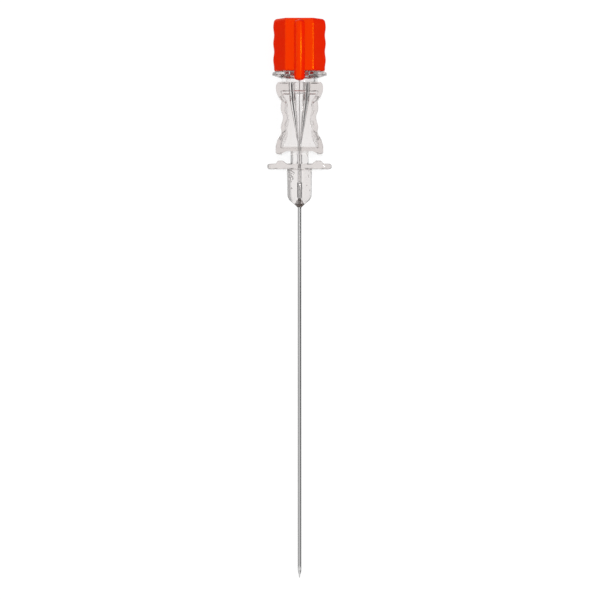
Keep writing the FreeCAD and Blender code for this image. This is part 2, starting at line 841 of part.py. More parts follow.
def check(part):
    """Stop if a piece or anything that it is made from failed."""
    for feature in doc.Objects:
        if "Invalid" in feature.State or "Error" in feature.State:
            raise RuntimeError("%s failed: %s" % (feature.Name, feature.State))
    if part.Shape.isNull() or not part.Shape.isValid():
        raise RuntimeError("%s has no valid shape" % part.Label)
    if len(part.Shape.Solids) != 1:
        raise RuntimeError("%s has %d solids" % (part.Label, len(part.Shape.Solids)))


os.makedirs("parts", exist_ok=True)
parts = [make_hub(), make_cannula(), make_adhesive(), make_wire(), make_cap()]
for part, node in zip(parts, ("hub", "cannula", "adhesive", "stylet_wire", "stylet_cap")):
    part.Label = node
    part.setExpression("Placement.Base.y", "(%s - Sizes.cap_height) / 2" % POINT)
    part.setExpression("Placement.Base.z", "Sizes.axis_height")
doc.recompute()
for part in parts:
    check(part)
for part in parts:
    part.Shape.exportStep("parts/%s.step" % part.Label)
    room = part.Shape.BoundBox
    print("%-12s volume %8.3f  x %.2f..%.2f  y %.2f..%.2f  z %.2f..%.2f" % (
        part.Label, part.Shape.Volume, room.XMin, room.XMax, room.YMin, room.YMax, room.ZMin, room.ZMax,
    ))
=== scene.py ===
# %% [markdown]
# # A spinal needle with its stylet seated
#
# The real object is five pieces. A thin steel tube, ground to a point, is bonded into a clear
# moulded hub. A steel wire, the stylet, fills the tube, and its moulded orange cap sits on the
# hub's mouth. The CAD model already holds every size, so this notebook makes smooth, finished
# versions of the same five pieces in the same places and lights them as a product photograph.

import math

import bmesh
import bpy
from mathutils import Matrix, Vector


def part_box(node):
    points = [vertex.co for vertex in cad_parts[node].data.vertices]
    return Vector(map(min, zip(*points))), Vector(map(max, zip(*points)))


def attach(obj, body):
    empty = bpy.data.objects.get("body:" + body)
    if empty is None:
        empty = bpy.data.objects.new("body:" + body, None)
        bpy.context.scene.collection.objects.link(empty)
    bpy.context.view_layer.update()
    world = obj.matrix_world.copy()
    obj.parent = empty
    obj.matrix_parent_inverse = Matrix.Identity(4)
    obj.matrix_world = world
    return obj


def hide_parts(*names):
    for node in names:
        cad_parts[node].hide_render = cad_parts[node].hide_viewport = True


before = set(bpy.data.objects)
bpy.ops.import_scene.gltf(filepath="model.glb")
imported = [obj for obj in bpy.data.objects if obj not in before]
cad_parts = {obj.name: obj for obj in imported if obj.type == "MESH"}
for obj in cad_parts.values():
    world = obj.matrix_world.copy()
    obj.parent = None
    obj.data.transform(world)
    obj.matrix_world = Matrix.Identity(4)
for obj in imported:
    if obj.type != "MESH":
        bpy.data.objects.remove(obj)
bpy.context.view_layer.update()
print("CAD pieces:", ", ".join(sorted(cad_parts)))

# %% [markdown]
# The needle lies along Y with its point towards -Y, and it is turned and drawn about its own axis.
# So every shape below uses three numbers in millimetres: x across, the station along the axis
# from the mouth of the hub towards the point, and the height above the axis. The places of the
# ends come from the frame, so the new pieces can't drift away from the CAD ones.

# %% Measure the frame
MM = 0.001


def span(node):
    """Lowest and highest corner of a CAD node, in millimetres."""
    low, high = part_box(node)
    return low / MM, high / MM


hub_low, hub_high = span("hub")
cannula_low, cannula_high = span("cannula")
adhesive_low, adhesive_high = span("adhesive")
wire_low, wire_high = span("stylet_wire")
cap_low, cap_high = span("stylet_cap")

mouth_y = hub_high.y
axis_z = (cannula_low.z + cannula_high.z) / 2
nose_end = mouth_y - hub_low.y
point = mouth_y - cannula_low.y
cannula_top = mouth_y - cannula_high.y
well_top = mouth_y - adhesive_high.y
adhesive_end = mouth_y - adhesive_low.y
wire_point = mouth_y - wire_low.y
wire_anchor = wire_high.y - mouth_y
cap_height = cap_high.y - mouth_y
key_drop = mouth_y - cap_low.y


def place(across, station, height=0.0):
    """A place in the frame, in millimetres, from the needle's own three numbers."""
    return Vector((across, mouth_y - station, axis_z + height))


print("needle %.2f mm long, axis %.2f mm above the floor" % (point + cap_height, axis_z))

# %% [markdown]
# ## The stage
#
# The photograph looks straight down on the needle through a long lens, so the camera stands high
# above it with a narrow view. Its top edge is the head of the picture, with +Y upwards.

# %% Camera over the needle
PICTURE_WIDTH = 86.33
PICTURE_CENTRE = (0.075, -0.094)
CAMERA_HEIGHT = 600.0

camera_data = bpy.data.cameras.new("camera")
camera_data.sensor_width = 36
camera_data.lens = camera_data.sensor_width * CAMERA_HEIGHT / PICTURE_WIDTH
camera = bpy.data.objects.new("camera", camera_data)
camera.location = Vector((*PICTURE_CENTRE, axis_z + CAMERA_HEIGHT)) * MM
bpy.context.scene.collection.objects.link(camera)
bpy.context.scene.camera = camera
bpy.context.scene.view_settings.view_transform = "Standard"
print("lens %.0f mm" % camera_data.lens)

# %% [markdown]
# Clear plastic and bright steel have hardly any colour of their own: they show what stands round
# them. A photographer gives them white on every side and a few long dark cards, and each card
# draws a dark contour line where the plastic bends the view towards it. The same is done here.
# The camera sees a plain white floor, while rays that pass the plastic or bounce off the metal
# look past it into a room that holds the cards. Real planes could stand there too, but they
# would be in the way in other views. A small helper keeps the node trees short: it makes a node
# and fills or links its inputs.


# %% A helper for node trees
def add(tree, kind, settings=None, **inputs):
    """Makes a node. An input takes a number, a colour, or another node's output."""
    made = tree.nodes.new(kind)
    for name, value in (settings or {}).items():
        setattr(made, name, value)
    for name, value in inputs.items():
        fill(tree, made.inputs[name.replace("_", " ")], value)
    return made


def fill(tree, socket, value):
    if isinstance(value, bpy.types.NodeSocket):
        tree.links.new(value, socket)
    else:
        socket.default_value = value


def maths(tree, operation, *values, clamp=False):
    """A Math node's output."""
    made = tree.nodes.new("ShaderNodeMath")
    made.operation = operation
    made.use_clamp = clamp
    for socket, value in zip(made.inputs, values):
        fill(tree, socket, value)
    return made.outputs[0]


def ranged(tree, value, low, high, start, end, kind="LINEAR"):
    """A value taken from one range to another."""
    made = add(
        tree, "ShaderNodeMapRange", {"interpolation_type": kind},
        Value=value, From_Min=low, From_Max=high, To_Min=start, To_Max=end,
    )
    return made.outputs["Result"]


def blank_tree(owner):
    owner.use_nodes = True
    owner.node_tree.nodes.clear()
    return owner.node_tree


# %% [markdown]
# The floor is one large plane. Its own glow makes it white to the camera, and a matt part under
# the glow takes the needle's soft shadow. A white floor that is only matt would be simpler, but
# it needs so much lamp light that the pale plastic clips to white.

# %% White floor
FLOOR_HALF = 1.5
WHITE = 0.9
FLOOR_COLOUR = (0.16, 0.16, 0.16, 1)


def make_floor():
    corners = [(-FLOOR_HALF, -FLOOR_HALF, 0), (FLOOR_HALF, -FLOOR_HALF, 0)]
    corners += [(FLOOR_HALF, FLOOR_HALF, 0), (-FLOOR_HALF, FLOOR_HALF, 0)]
    mesh = bpy.data.meshes.new("floor")
    mesh.from_pydata(corners, [], [(0, 1, 2, 3)])
    floor = bpy.data.objects.new("floor", mesh)
    floor.visible_glossy = False
    floor.visible_transmission = False
    bpy.context.scene.collection.objects.link(floor)
    return floor


def make_floor_finish():
    """White to the camera, with a matt part that takes the object's shadow."""
    finish = bpy.data.materials.new("white_card")
    tree = blank_tree(finish)
    paths = add(tree, "ShaderNodeLightPath").outputs
    glow = maths(tree, "MULTIPLY", paths["Is Camera Ray"], WHITE)
    white = add(tree, "ShaderNodeEmission", Strength=glow)
    matt = add(tree, "ShaderNodeBsdfDiffuse", Color=FLOOR_COLOUR)
    both = tree.nodes.new("ShaderNodeAddShader")
    tree.links.new(white.outputs[0], both.inputs[0])
    tree.links.new(matt.outputs[0], both.inputs[1])
    add(tree, "ShaderNodeOutputMaterial", Surface=both.outputs[0])
    return finish


floor = make_floor()
floor.data.materials.append(make_floor_finish())
print("floor %.0f m across" % (2 * FLOOR_HALF))

# %% [markdown]
# The room is made twice, once for metal and once for clear plastic, and both are lit by the angle
# round the needle's axis, from straight up towards +X. Metal mirrors a wide soft light that ends
# a little right of straight up, so the shaft has a pale left side and a dark right edge. A dim
# card at the left horizon darkens the cap's left slope, and straight below is white again, or
# the undersides would show as black marks. Plastic sees white but for cards that are long and
# parallel to the needle, because a tapered bore bends the view along the needle as well as
# across it. A card is an angle, the two half-widths in degrees between which it fades out, and
# the brightness left in its middle. The cards stop short of the needle's own direction.

# %% Room light
RIGHT_EDGE = math.radians(36)
EDGE_WIDTH = math.radians(6)
DIM_WALL = 0.08
LEFT_CARD = (-88, 9, 16, 0.1)
BELOW_START = -0.6
BELOW_END = -0.95
PLASTIC_CARDS = (
    (-86, 16, 25, 0.03),
    (84, 12, 18, 0.25),
    (104, 28, 44, 0.4),
)
CARD_END = 0.5
CARD_FADE = 0.68
AMBIENT = 0.95


def card(tree, angle, middle, inner, outer, level):
    """Brightness by angle round the axis: a dim band, white beyond it."""
    off = maths(tree, "ABSOLUTE", maths(tree, "SUBTRACT", angle, math.radians(middle)))
    return ranged(tree, off, math.radians(inner), math.radians(outer), level, 1.0, "SMOOTHSTEP")


def seen_in_metal(tree, angle, towards):
    """Brightness that metal and gloss mirror from a direction."""
    soft = ranged(
        tree, angle, RIGHT_EDGE - EDGE_WIDTH, RIGHT_EDGE + EDGE_WIDTH, 1.0, DIM_WALL, "SMOOTHSTEP"
    )
    soft = maths(tree, "MULTIPLY", soft, card(tree, angle, *LEFT_CARD))
    below = ranged(tree, towards["Z"], BELOW_END, BELOW_START, 1.0, 0.0)
    return maths(tree, "MAXIMUM", soft, below)


def seen_through_plastic(tree, angle, towards):
    """Brightness that clear plastic lets through from a direction."""
    light = 1.0
    for numbers in PLASTIC_CARDS:
        light = maths(tree, "MULTIPLY", light, card(tree, angle, *numbers))
    past_end = ranged(tree, maths(tree, "ABSOLUTE", towards["Y"]), CARD_END, CARD_FADE, 0.0, 1.0)
    return maths(tree, "MAXIMUM", light, past_end)


def make_room():
    room = bpy.data.worlds.new("room")
    tree = blank_tree(room)
    paths = add(tree, "ShaderNodeLightPath").outputs
    direction = add(tree, "ShaderNodeTexCoord").outputs["Generated"]
    towards = add(tree, "ShaderNodeSeparateXYZ", Vector=direction).outputs
    angle = maths(tree, "ARCTAN2", towards["X"], towards["Z"])
    past_plastic = paths["Is Transmission Ray"]
    off_metal = maths(tree, "SUBTRACT", paths["Is Glossy Ray"], past_plastic, clamp=True)
    strength = maths(tree, "MULTIPLY", paths["Is Diffuse Ray"], AMBIENT)
    for ray, level in (
        (off_metal, seen_in_metal(tree, angle, towards)),
        (past_plastic, seen_through_plastic(tree, angle, towards)),
        (paths["Is Camera Ray"], 1.0),
    ):
        strength = maths(tree, "MAXIMUM", strength, maths(tree, "MULTIPLY", ray, level))
    backdrop = add(tree, "ShaderNodeBackground", Color=(1, 1, 1, 1), Strength=strength)
    add(tree, "ShaderNodeOutputWorld", Surface=backdrop.outputs[0])
    bpy.context.scene.world = room


def add_softbox(name, direction, distance, width, length, watts):
    """An area light that faces the needle from a direction, with its length along the needle."""
    data = bpy.data.lights.new(name, "AREA")
    data.shape = "RECTANGLE"
    data.size = width
    data.size_y = length
    data.energy = watts
    lamp = bpy.data.objects.new(name, data)
    away = Vector(direction).normalized()
    lamp.location = away * distance
    lamp.rotation_euler = away.to_track_quat("Z", "Y").to_euler()
    bpy.context.scene.collection.objects.link(lamp)
    return lamp


make_room()
key_light = add_softbox(
    "key_light", (0.0, 0.5, 0.86), distance=0.6, width=0.25, length=0.25, watts=0.04
)
key_light.visible_glossy = False
key_light.visible_transmission = False
add_softbox("strip_light", (0.26, 0.069, 0.45), distance=0.52, width=0.02, length=0.1, watts=0.4)
print("lamps: key_light, strip_light; cards for plastic:", len(PLASTIC_CARDS))

# %% [markdown]
# ## Shapes that are turned, moulded and cut
#
# Most of this object was turned in a mould or pressed from a rounded outline. Three helpers cover
# it: one rounds the corners of a drawn line, one skins a run of rings into a closed solid, and
# one cuts or joins two solids. Rounded corners matter on small clear parts, because each one
# catches a thin line of light.

# %% Helpers for solids
ROUND_SIDES = 128
CORNER_STEPS = 6
TINY = 1e-6


def soften(corners, closed=False, steps=CORNER_STEPS):
    """Rounds a drawn line. A corner is two numbers, and a radius where it is rounded."""
    made = []
    count = len(corners)
    for index, corner in enumerate(corners):
        here = Vector(corner[:2])
        radius = corner[2] if len(corner) > 2 else 0
        before = Vector(corners[index - 1][:2])
        after = Vector(corners[(index + 1) % count][:2])
        if not radius or not closed and index in (0, count - 1):
            made.append(here)
            continue
        into = (here - before).normalized()
        away = (after - here).normalized()
        turn = into.angle(away)
        side = 1 if into.cross(away) > 0 else -1
        normal = Vector((-into.y, into.x)) * side
        start = here - into * radius * math.tan(turn / 2)
        centre = start + normal * radius
        for step in range(steps + 1):
            angle = turn * step / steps
            made.append(centre + radius * (into * math.sin(angle) - normal * math.cos(angle)))
    return made


def new_piece(name, mesh):
    made = bpy.data.objects.new(name, mesh)
    bpy.context.scene.collection.objects.link(made)
    return made


def skin(name, rings):
    """A closed solid through a run of rings. A ring of one place closes that end."""
    build = bmesh.new()
    rows = [[build.verts.new(spot) for spot in ring] for ring in rings]
    for first, second in zip(rows, rows[1:]):
        count = max(len(first), len(second))
        for index in range(count):
            around = (index + 1) % count
            if len(first) == 1:
                build.faces.new((first[0], second[around], second[index]))
            elif len(second) == 1:
                build.faces.new((first[index], first[around], second[0]))
            else:
                build.faces.new((first[index], first[around], second[around], second[index]))
    for row in (rows[0], rows[-1]):
        if len(row) > 1:
            build.faces.new(row)
    bmesh.ops.recalc_face_normals(build, faces=build.faces)
    mesh = bpy.data.meshes.new(name)
    build.to_mesh(mesh)
    build.free()
    return new_piece(name, mesh)


def turned(name, profile, sides=ROUND_SIDES, centre=0.0):
    """A solid turned about the needle's axis, or a line above it. The profile is (radius, station)."""
    rings = []
    for radius, station in profile:
        if radius < TINY:
            rings.append([place(0, station, centre)])
            continue
        turns = [2 * math.pi * side / sides for side in range(sides)]
        rings.append([
            place(radius * math.cos(turn), station, centre + radius * math.sin(turn)) for turn in turns
        ])
    return skin(name, rings)


def block(name, low, high):
    """A plain box between two corners, each (across, station, height)."""
    rings = []
    for station in (low[1], high[1]):
        rings.append([
            place(low[0], station, low[2]), place(high[0], station, low[2]),
            place(high[0], station, high[2]), place(low[0], station, high[2]),
        ])
    return skin(name, rings)


def bake(piece):
    """Turns a piece's modifiers into plain mesh."""
    graph = bpy.context.evaluated_depsgraph_get()
    mesh = bpy.data.meshes.new_from_object(piece.evaluated_get(graph))
    piece.modifiers.clear()
    old = piece.data
    piece.data = mesh
    bpy.data.meshes.remove(old)


def combine(piece, tool, operation):
    """Cuts a tool from a piece, or joins it on, and throws the tool away."""
    change = piece.modifiers.new("combine", "BOOLEAN")
    change.operation = operation
    change.solver = "EXACT"
    change.object = tool
    bake(piece)
    mesh = tool.data
    bpy.data.objects.remove(tool)
    bpy.data.meshes.remove(mesh)


def measure(piece):
    build = bmesh.new()
    build.from_mesh(piece.data)
    open_edges = sum(1 for edge in build.edges if not edge.is_manifold)
    volume = build.calc_volume()
    faces = len(build.faces)
    build.free()
    print("%s: %d faces, %.2f mm3, %d open edges" % (piece.name, faces, volume, open_edges))


# %% [markdown]
# ## Finishes
#
# Four finishes are enough: clear plastic, orange plastic, bright steel and cured adhesive. Two
# effects are shared between them, so each is a node group with its own inputs. Moulding marks
# are the long, soft ripples that molten plastic leaves as it flows. Drawn lines are the fine
# lengthwise scratches that a die leaves on tube and wire.

# %% Shared effect: moulding marks


def new_group(name, inputs, outputs):
    """A shader node group with float or vector sockets."""
    group = bpy.data.node_groups.new(name, "ShaderNodeTree")
    for label, kind, value in inputs:
        socket = group.interface.new_socket(label, in_out="INPUT", socket_type=kind)
        if kind == "NodeSocketFloat":
            socket.default_value = value
    for label, kind in outputs:
        group.interface.new_socket(label, in_out="OUTPUT", socket_type=kind)
    start = group.nodes.new("NodeGroupInput")
    end = group.nodes.new("NodeGroupOutput")
    return group, start.outputs, end.inputs


def make_moulding_marks():
    group, given, result = new_group(
        "moulding_marks",
        [
            ("Vector", "NodeSocketVector", None),
            ("Flow Scale", "NodeSocketFloat", 300.0),
            ("Grain Scale", "NodeSocketFloat", 4000.0),
            ("Grain Share", "NodeSocketFloat", 0.2),
        ],
        [("Height", "NodeSocketFloat"), ("Clouds", "NodeSocketFloat")],
    )
    flow = add(
        group, "ShaderNodeTexNoise",
        Vector=given["Vector"], Scale=given["Flow Scale"], Detail=2.0, Roughness=0.4, Distortion=0.6,
    )
    grain = add(
        group, "ShaderNodeTexNoise",
        Vector=given["Vector"], Scale=given["Grain Scale"], Detail=2.0, Roughness=0.6,
    )
    fine = maths(group, "MULTIPLY", grain.outputs["Fac"], given["Grain Share"])
    group.links.new(maths(group, "ADD", flow.outputs["Fac"], fine), result["Height"])
    group.links.new(flow.outputs["Fac"], result["Clouds"])
    return group


moulding_marks = make_moulding_marks()
print("group:", moulding_marks.name)

# %% Shared effect: drawn lines


def make_drawn_lines():
    group, given, result = new_group(
        "drawn_lines",
        [
            ("Vector", "NodeSocketVector", None),
            ("Line Scale", "NodeSocketFloat", 9000.0),
            ("Stretch", "NodeSocketFloat", 0.02),
        ],
        [("Lines", "NodeSocketFloat"), ("Patches", "NodeSocketFloat")],
    )
    squeeze = add(group, "ShaderNodeCombineXYZ", X=1.0, Y=given["Stretch"], Z=1.0)
    along = add(group, "ShaderNodeVectorMath", {"operation": "MULTIPLY"})
    group.links.new(given["Vector"], along.inputs[0])
    group.links.new(squeeze.outputs[0], along.inputs[1])
    lines = add(
        group, "ShaderNodeTexNoise",
        Vector=along.outputs[0], Scale=given["Line Scale"], Detail=3.0, Roughness=0.7,
    )
    patches = add(
        group, "ShaderNodeTexNoise",
        Vector=given["Vector"], Scale=180.0, Detail=3.0, Roughness=0.6,
    )
    group.links.new(lines.outputs["Fac"], result["Lines"])
    group.links.new(patches.outputs["Fac"], result["Patches"])
    return group


drawn_lines = make_drawn_lines()
print("group:", drawn_lines.name)

# %% [markdown]
# Each finish is one Principled shader. What is the same all over is set straight on its sockets,
# and only what changes over the surface is wired in: a little colour drift, a roughness that
# follows handling marks, and a very low bump.


# %% Helpers for finishes
def start_finish(name):
    """A material with its Principled shader and the object's own coordinates."""
    finish = bpy.data.materials.new(name)
    tree = blank_tree(finish)
    shader = tree.nodes.new("ShaderNodeBsdfPrincipled")
    add(tree, "ShaderNodeOutputMaterial", Surface=shader.outputs[0])
    where = add(tree, "ShaderNodeTexCoord").outputs["Object"]
    return finish, tree, shader, where


def use_group(tree, group, **inputs):
    return add(tree, "ShaderNodeGroup", {"node_tree": group}, **inputs)


def two_tone(tree, mask, first, second):
    """A colour between two, by a mask."""
    mix = tree.nodes.new("ShaderNodeMix")
    mix.data_type = "RGBA"
    fill(tree, mix.inputs["Factor"], mask)
    mix.inputs[6].default_value = (*first, 1)
    mix.inputs[7].default_value = (*second, 1)
    return mix.outputs[2]


def raise_marks(tree, shader, height, depth, strength=1.0):
    """Bump of a height map that stands a depth in metres high."""
    bump = add(tree, "ShaderNodeBump", Height=height, Distance=depth, Strength=strength)
    tree.links.new(bump.outputs[0], shader.inputs["Normal"])


# %% [markdown]
# The hub is clear, faintly grey plastic. The grey grows with the depth that light passes, so it
# is a volume that absorbs and not a darker surface colour, which would tint thin and thick walls
# alike. The lock flange is slightly matt on the real moulding, which also keeps its lugs from
# breaking up into hard black and white.

# %% Clear plastic
FLANGE_INSIDE = 2.62
FLANGE_DEPTH = 1.0
FLANGE_MATT = 0.1


def make_clear_plastic():
    finish, tree, shader, where = start_finish("clear_plastic")
    marks = use_group(
        tree, moulding_marks,
        Vector=where, Flow_Scale=420.0, Grain_Scale=2600.0, Grain_Share=0.05,
    )
    drift = ranged(tree, marks.outputs["Clouds"], 0.35, 0.65, 0.0, 1.0)
    tint = two_tone(tree, drift, (0.99, 0.98, 0.98), (0.97, 0.965, 0.965))
    tree.links.new(tint, shader.inputs["Base Color"])
    depth = add(tree, "ShaderNodeVolumeAbsorption", Color=(0.42, 0.32, 0.28, 1), Density=88.0)
    tree.links.new(depth.outputs[0], tree.nodes["Material Output"].inputs["Volume"])
    haze = ranged(tree, marks.outputs["Clouds"], 0.3, 0.7, 0.01, 0.03)
    spot = add(tree, "ShaderNodeSeparateXYZ", Vector=where).outputs
    lift = maths(tree, "SUBTRACT", spot["Z"], axis_z * MM)
    sideways = maths(tree, "POWER", spot["X"], 2.0)
    reach = maths(tree, "SQRT", maths(tree, "ADD", sideways, maths(tree, "POWER", lift, 2.0)))
    outside = maths(tree, "GREATER_THAN", reach, FLANGE_INSIDE * MM)
    at_mouth = maths(tree, "GREATER_THAN", spot["Y"], (mouth_y - FLANGE_DEPTH) * MM)
    matt = maths(tree, "MULTIPLY", maths(tree, "MULTIPLY", outside, at_mouth), FLANGE_MATT)
    tree.links.new(maths(tree, "ADD", haze, matt), shader.inputs["Roughness"])
    shader.inputs["IOR"].default_value = 1.57
    shader.inputs["Transmission Weight"].default_value = 1.0
    raise_marks(tree, shader, marks.outputs["Height"], 0.000006, 0.5)
    return finish


clear_plastic = make_clear_plastic()
print("finish:", clear_plastic.name)

# %% [markdown]
# Cured adhesive is clear too, but it is full of fine haze and looks brown and dark where it is
# packed round the tube. It is a part see-through shader with a dark tint and a lumpy bump.


# %% Cured adhesive
def make_cured_adhesive():
    finish, tree, shader, where = start_finish("cured_adhesive")
    marks = use_group(
        tree, moulding_marks,
        Vector=where, Flow_Scale=1600.0, Grain_Scale=6000.0, Grain_Share=0.2,
    )
    drift = ranged(tree, marks.outputs["Clouds"], 0.35, 0.65, 0.0, 1.0)
    tint = two_tone(tree, drift, (0.30, 0.24, 0.21), (0.22, 0.17, 0.15))
    tree.links.new(tint, shader.inputs["Base Color"])
    haze = ranged(tree, marks.outputs["Clouds"], 0.3, 0.7, 0.12, 0.3)
    tree.links.new(haze, shader.inputs["Roughness"])
    shader.inputs["IOR"].default_value = 1.52
    shader.inputs["Transmission Weight"].default_value = 0.7
    raise_marks(tree, shader, marks.outputs["Height"], 0.00002, 0.6)
    return finish


cured_adhesive = make_cured_adhesive()
print("finish:", cured_adhesive.name)

# %% [markdown]
# The steel has three looks. The tube's skin is drawn, with fine lines along it. The facets at the
# point are ground, with finer, shorter marks. The wire is nearly white and has a soft shine, so
# that it stays quiet inside the clear hub. One function makes all three, with its own tones,
# roughness and length of line for each.


# %% Steel, drawn, polished and ground
def make_steel(name, pale, deep, roughest, line_scale, stretch):
    """Stainless steel with fine lines. A low stretch draws the lines out along the needle."""
    finish, tree, shader, where = start_finish(name)
    marks = use_group(tree, drawn_lines, Vector=where, Line_Scale=line_scale, Stretch=stretch)
    tone = two_tone(tree, ranged(tree, marks.outputs["Lines"], 0.3, 0.7, 0.0, 1.0), deep, pale)
    tree.links.new(tone, shader.inputs["Base Color"])
    rough = ranged(tree, marks.outputs["Patches"], 0.3, 0.7, roughest - 0.08, roughest)
    tree.links.new(rough, shader.inputs["Roughness"])
    shader.inputs["Metallic"].default_value = 1.0
    raise_marks(tree, shader, marks.outputs["Lines"], 0.0000006, 0.5)
    return finish


drawn_steel = make_steel(
    "drawn_steel", pale=(0.50, 0.50, 0.50), deep=(0.44, 0.44, 0.44),
    roughest=0.22, line_scale=9000.0, stretch=0.02,
)
polished_steel = make_steel(
    "polished_steel", pale=(0.99, 0.98, 0.97), deep=(0.96, 0.95, 0.94),
    roughest=0.7, line_scale=9000.0, stretch=0.02,
)
ground_steel = make_steel(
    "ground_steel", pale=(0.62, 0.62, 0.62), deep=(0.52, 0.52, 0.52),
    roughest=0.34, line_scale=14000.0, stretch=2.5,
)
print("finishes:", drawn_steel.name, polished_steel.name, ground_steel.name)

# %% [markdown]
# The cap is a strong, opaque orange with a satin shine. Its highlights stay orange in the
# photograph, so the shine has an orange tint, where plain plastic would mirror white.


# %% Orange plastic
def make_orange_plastic():
    finish, tree, shader, where = start_finish("orange_plastic")
    marks = use_group(
        tree, moulding_marks,
        Vector=where, Flow_Scale=260.0, Grain_Scale=5200.0, Grain_Share=0.15,
    )
    drift = ranged(tree, marks.outputs["Clouds"], 0.3, 0.7, 0.0, 1.0)
    tint = two_tone(tree, drift, (0.86, 0.011, 0.0006), (0.83, 0.015, 0.0006))
    tree.links.new(tint, shader.inputs["Base Color"])
    rough = ranged(tree, marks.outputs["Clouds"], 0.3, 0.7, 0.14, 0.2)
    tree.links.new(rough, shader.inputs["Roughness"])
    shader.inputs["IOR"].default_value = 1.5
    shader.inputs["Specular Tint"].default_value = (1.0, 0.65, 0.0, 1)
    raise_marks(tree, shader, marks.outputs["Height"], 0.000012, 0.35)
    return finish


orange_plastic = make_orange_plastic()
print("finish:", orange_plastic.name)

# %% [markdown]
# ## The hub
#
# The hub is one clear moulding, and the most work of all the pieces. Its round parts, the lock
# flange, neck, stem and nose, are one turned profile. Each corner of the profile carries its own
# radius, so the mould's soft edges are there from the start.

# %% Hub: turned core
MOUTH_EDGE = 0.06
LUG_RADIUS = 3.915
LUG_FACE = 0.12
LUG_BACK = 0.54
LUG_FOOT = 0.96
LUG_EDGE = 0.12
FACE_FILLET = 0.03
FOOT_FILLET = 0.15
NECK_RADIUS = 2.6
NECK_END = 1.65
INTO_GRIP = 0.6
GRIP_LENGTH = 9.9
STEM_RADIUS = 1.3
STEM_LENGTH = 1.76
WING_THICKNESS = 0.78
GRIP_END = NECK_END + GRIP_LENGTH
WING_FACE = GRIP_END + STEM_LENGTH
WING_BACK = WING_FACE + WING_THICKNESS
WING_MIDDLE = WING_FACE + WING_THICKNESS / 2
NOSE_RADIUS = 1.81
NOSE_LOW_RADIUS = 1.73
NOSE_SHOULDER = 0.79
NOSE_CURVE = 1.3
NOSE_TIP_RADIUS = 0.8
NOSE_TIP_EDGE = 0.08

core_profile = soften([
    (0, 0),
    (NECK_RADIUS, 0, MOUTH_EDGE),
    (NECK_RADIUS, LUG_FACE, FACE_FILLET),
    (LUG_RADIUS, LUG_FACE, LUG_EDGE),
    (LUG_RADIUS, LUG_BACK, LUG_EDGE),
    (NECK_RADIUS, LUG_FOOT, FOOT_FILLET),
    (NECK_RADIUS, NECK_END + INTO_GRIP),
    (STEM_RADIUS, NECK_END + INTO_GRIP),
    (STEM_RADIUS, WING_MIDDLE),
    (NOSE_RADIUS, WING_MIDDLE),
    (NOSE_LOW_RADIUS, nose_end - NOSE_SHOULDER, NOSE_CURVE),
    (NOSE_TIP_RADIUS, nose_end, NOSE_TIP_EDGE),
    (0, nose_end),
])
hub = turned("clear_hub", core_profile)
measure(hub)

# %% [markdown]
# The finger grip is a collar, two wavy plates and a base plate. Seen along the needle its section
# is always a rounded rectangle, so it is skinned through a rectangle at each of many stations.
# The width follows one smooth curve through the places that were measured on the photograph.

# %% Hub: finger grip
GRIP_PLACES = (
    (0.85, 6.76), (1.9, 6.24), (2.68, 5.22), (3.2, 5.35), (3.95, 5.35), (5.0, 4.75),
    (6.45, 5.38), (7.03, 5.18), (7.5, 5.38), (8.08, 6.08), (8.8, 6.58), (9.45, 6.8),
)
COLLAR_TOP_WIDTH = 6.1
COLLAR_DEPTH = 6.8
WAIST_DEPTH = 5.9
PANEL_TOP = 1.2
BASE_SHOULDER = 1.1
FOOT_DROP = 0.42
TOP_ROUND = 0.1
FOOT_ROUND = 0.3
EDGE = 0.12
GRIP_STEPS = 110
ARC_STEP = 15
ARC_STEPS = 6


def hermite(share, start, end, start_slope, end_slope):
    """A smooth step between two values with a slope at each end."""
    square, cube = share * share, share * share * share
    return (
        (2 * cube - 3 * square + 1) * start + (cube - 2 * square + share) * start_slope
        + (3 * square - 2 * cube) * end + (cube - square) * end_slope
    )


def grip_half_width(down):
    """Half of the grip's width at a distance below the collar's top."""
    places = GRIP_PLACES
    if down <= places[0][0]:
        crest = places[0][0]
        start = COLLAR_TOP_WIDTH / 2
        return hermite(max(down, 0) / crest, start, places[0][1] / 2, crest, 0)
    if down >= places[-1][0]:
        return places[-1][1] / 2
    index = max(number for number, (low, _) in enumerate(places[:-1]) if low <= down)
    slopes = [0.0]
    for before, after in zip(places, places[2:]):
        slopes.append((after[1] - before[1]) / 2 / (after[0] - before[0]))
    slopes.append(0.0)
    (low, start), (high, end) = places[index], places[index + 1]
    length = high - low
    return hermite(
        (down - low) / length, start / 2, end / 2, slopes[index] * length, slopes[index + 1] * length
    )


def grip_half_depth(down):
    """Half of the grip's depth: an arc between the collar and the base plate."""
    low = PANEL_TOP
    high = GRIP_LENGTH - BASE_SHOULDER
    if down <= low:
        return COLLAR_DEPTH / 2
    if down >= high:
        return axis_z
    share = (down - low) / (high - low)
    straight = COLLAR_DEPTH / 2 + (axis_z - COLLAR_DEPTH / 2) * share
    sag = (COLLAR_DEPTH / 2 + axis_z) / 2 - WAIST_DEPTH / 2
    return straight - sag * 4 * share * (1 - share)


def rectangle_ring(half_width, half_depth, radius, station, straights=10):
    """A rounded rectangle across the needle, with its straight sides divided."""
    corners = [(1, -1), (1, 1), (-1, 1), (-1, -1)]
    outline = soften(
        [(half_width * side, half_depth * level, radius) for side, level in corners], closed=True
    )
    ring = []
    per_corner = CORNER_STEPS + 1
    for number in range(4):
        corner = outline[number * per_corner:(number + 1) * per_corner]
        following = outline[(number + 1) % 4 * per_corner]
        ring += corner
        ring += [corner[-1].lerp(following, step / straights) for step in range(1, straights)]
    return [place(spot.x, station, spot.y) for spot in ring]


def rounded_end(down, end, radius):
    """How far a rounded end pulls its section in, at a distance along it."""
    past = radius - abs(end - down)
    return 0.0 if past <= 0 else radius - math.sqrt(max(radius * radius - past * past, 0))


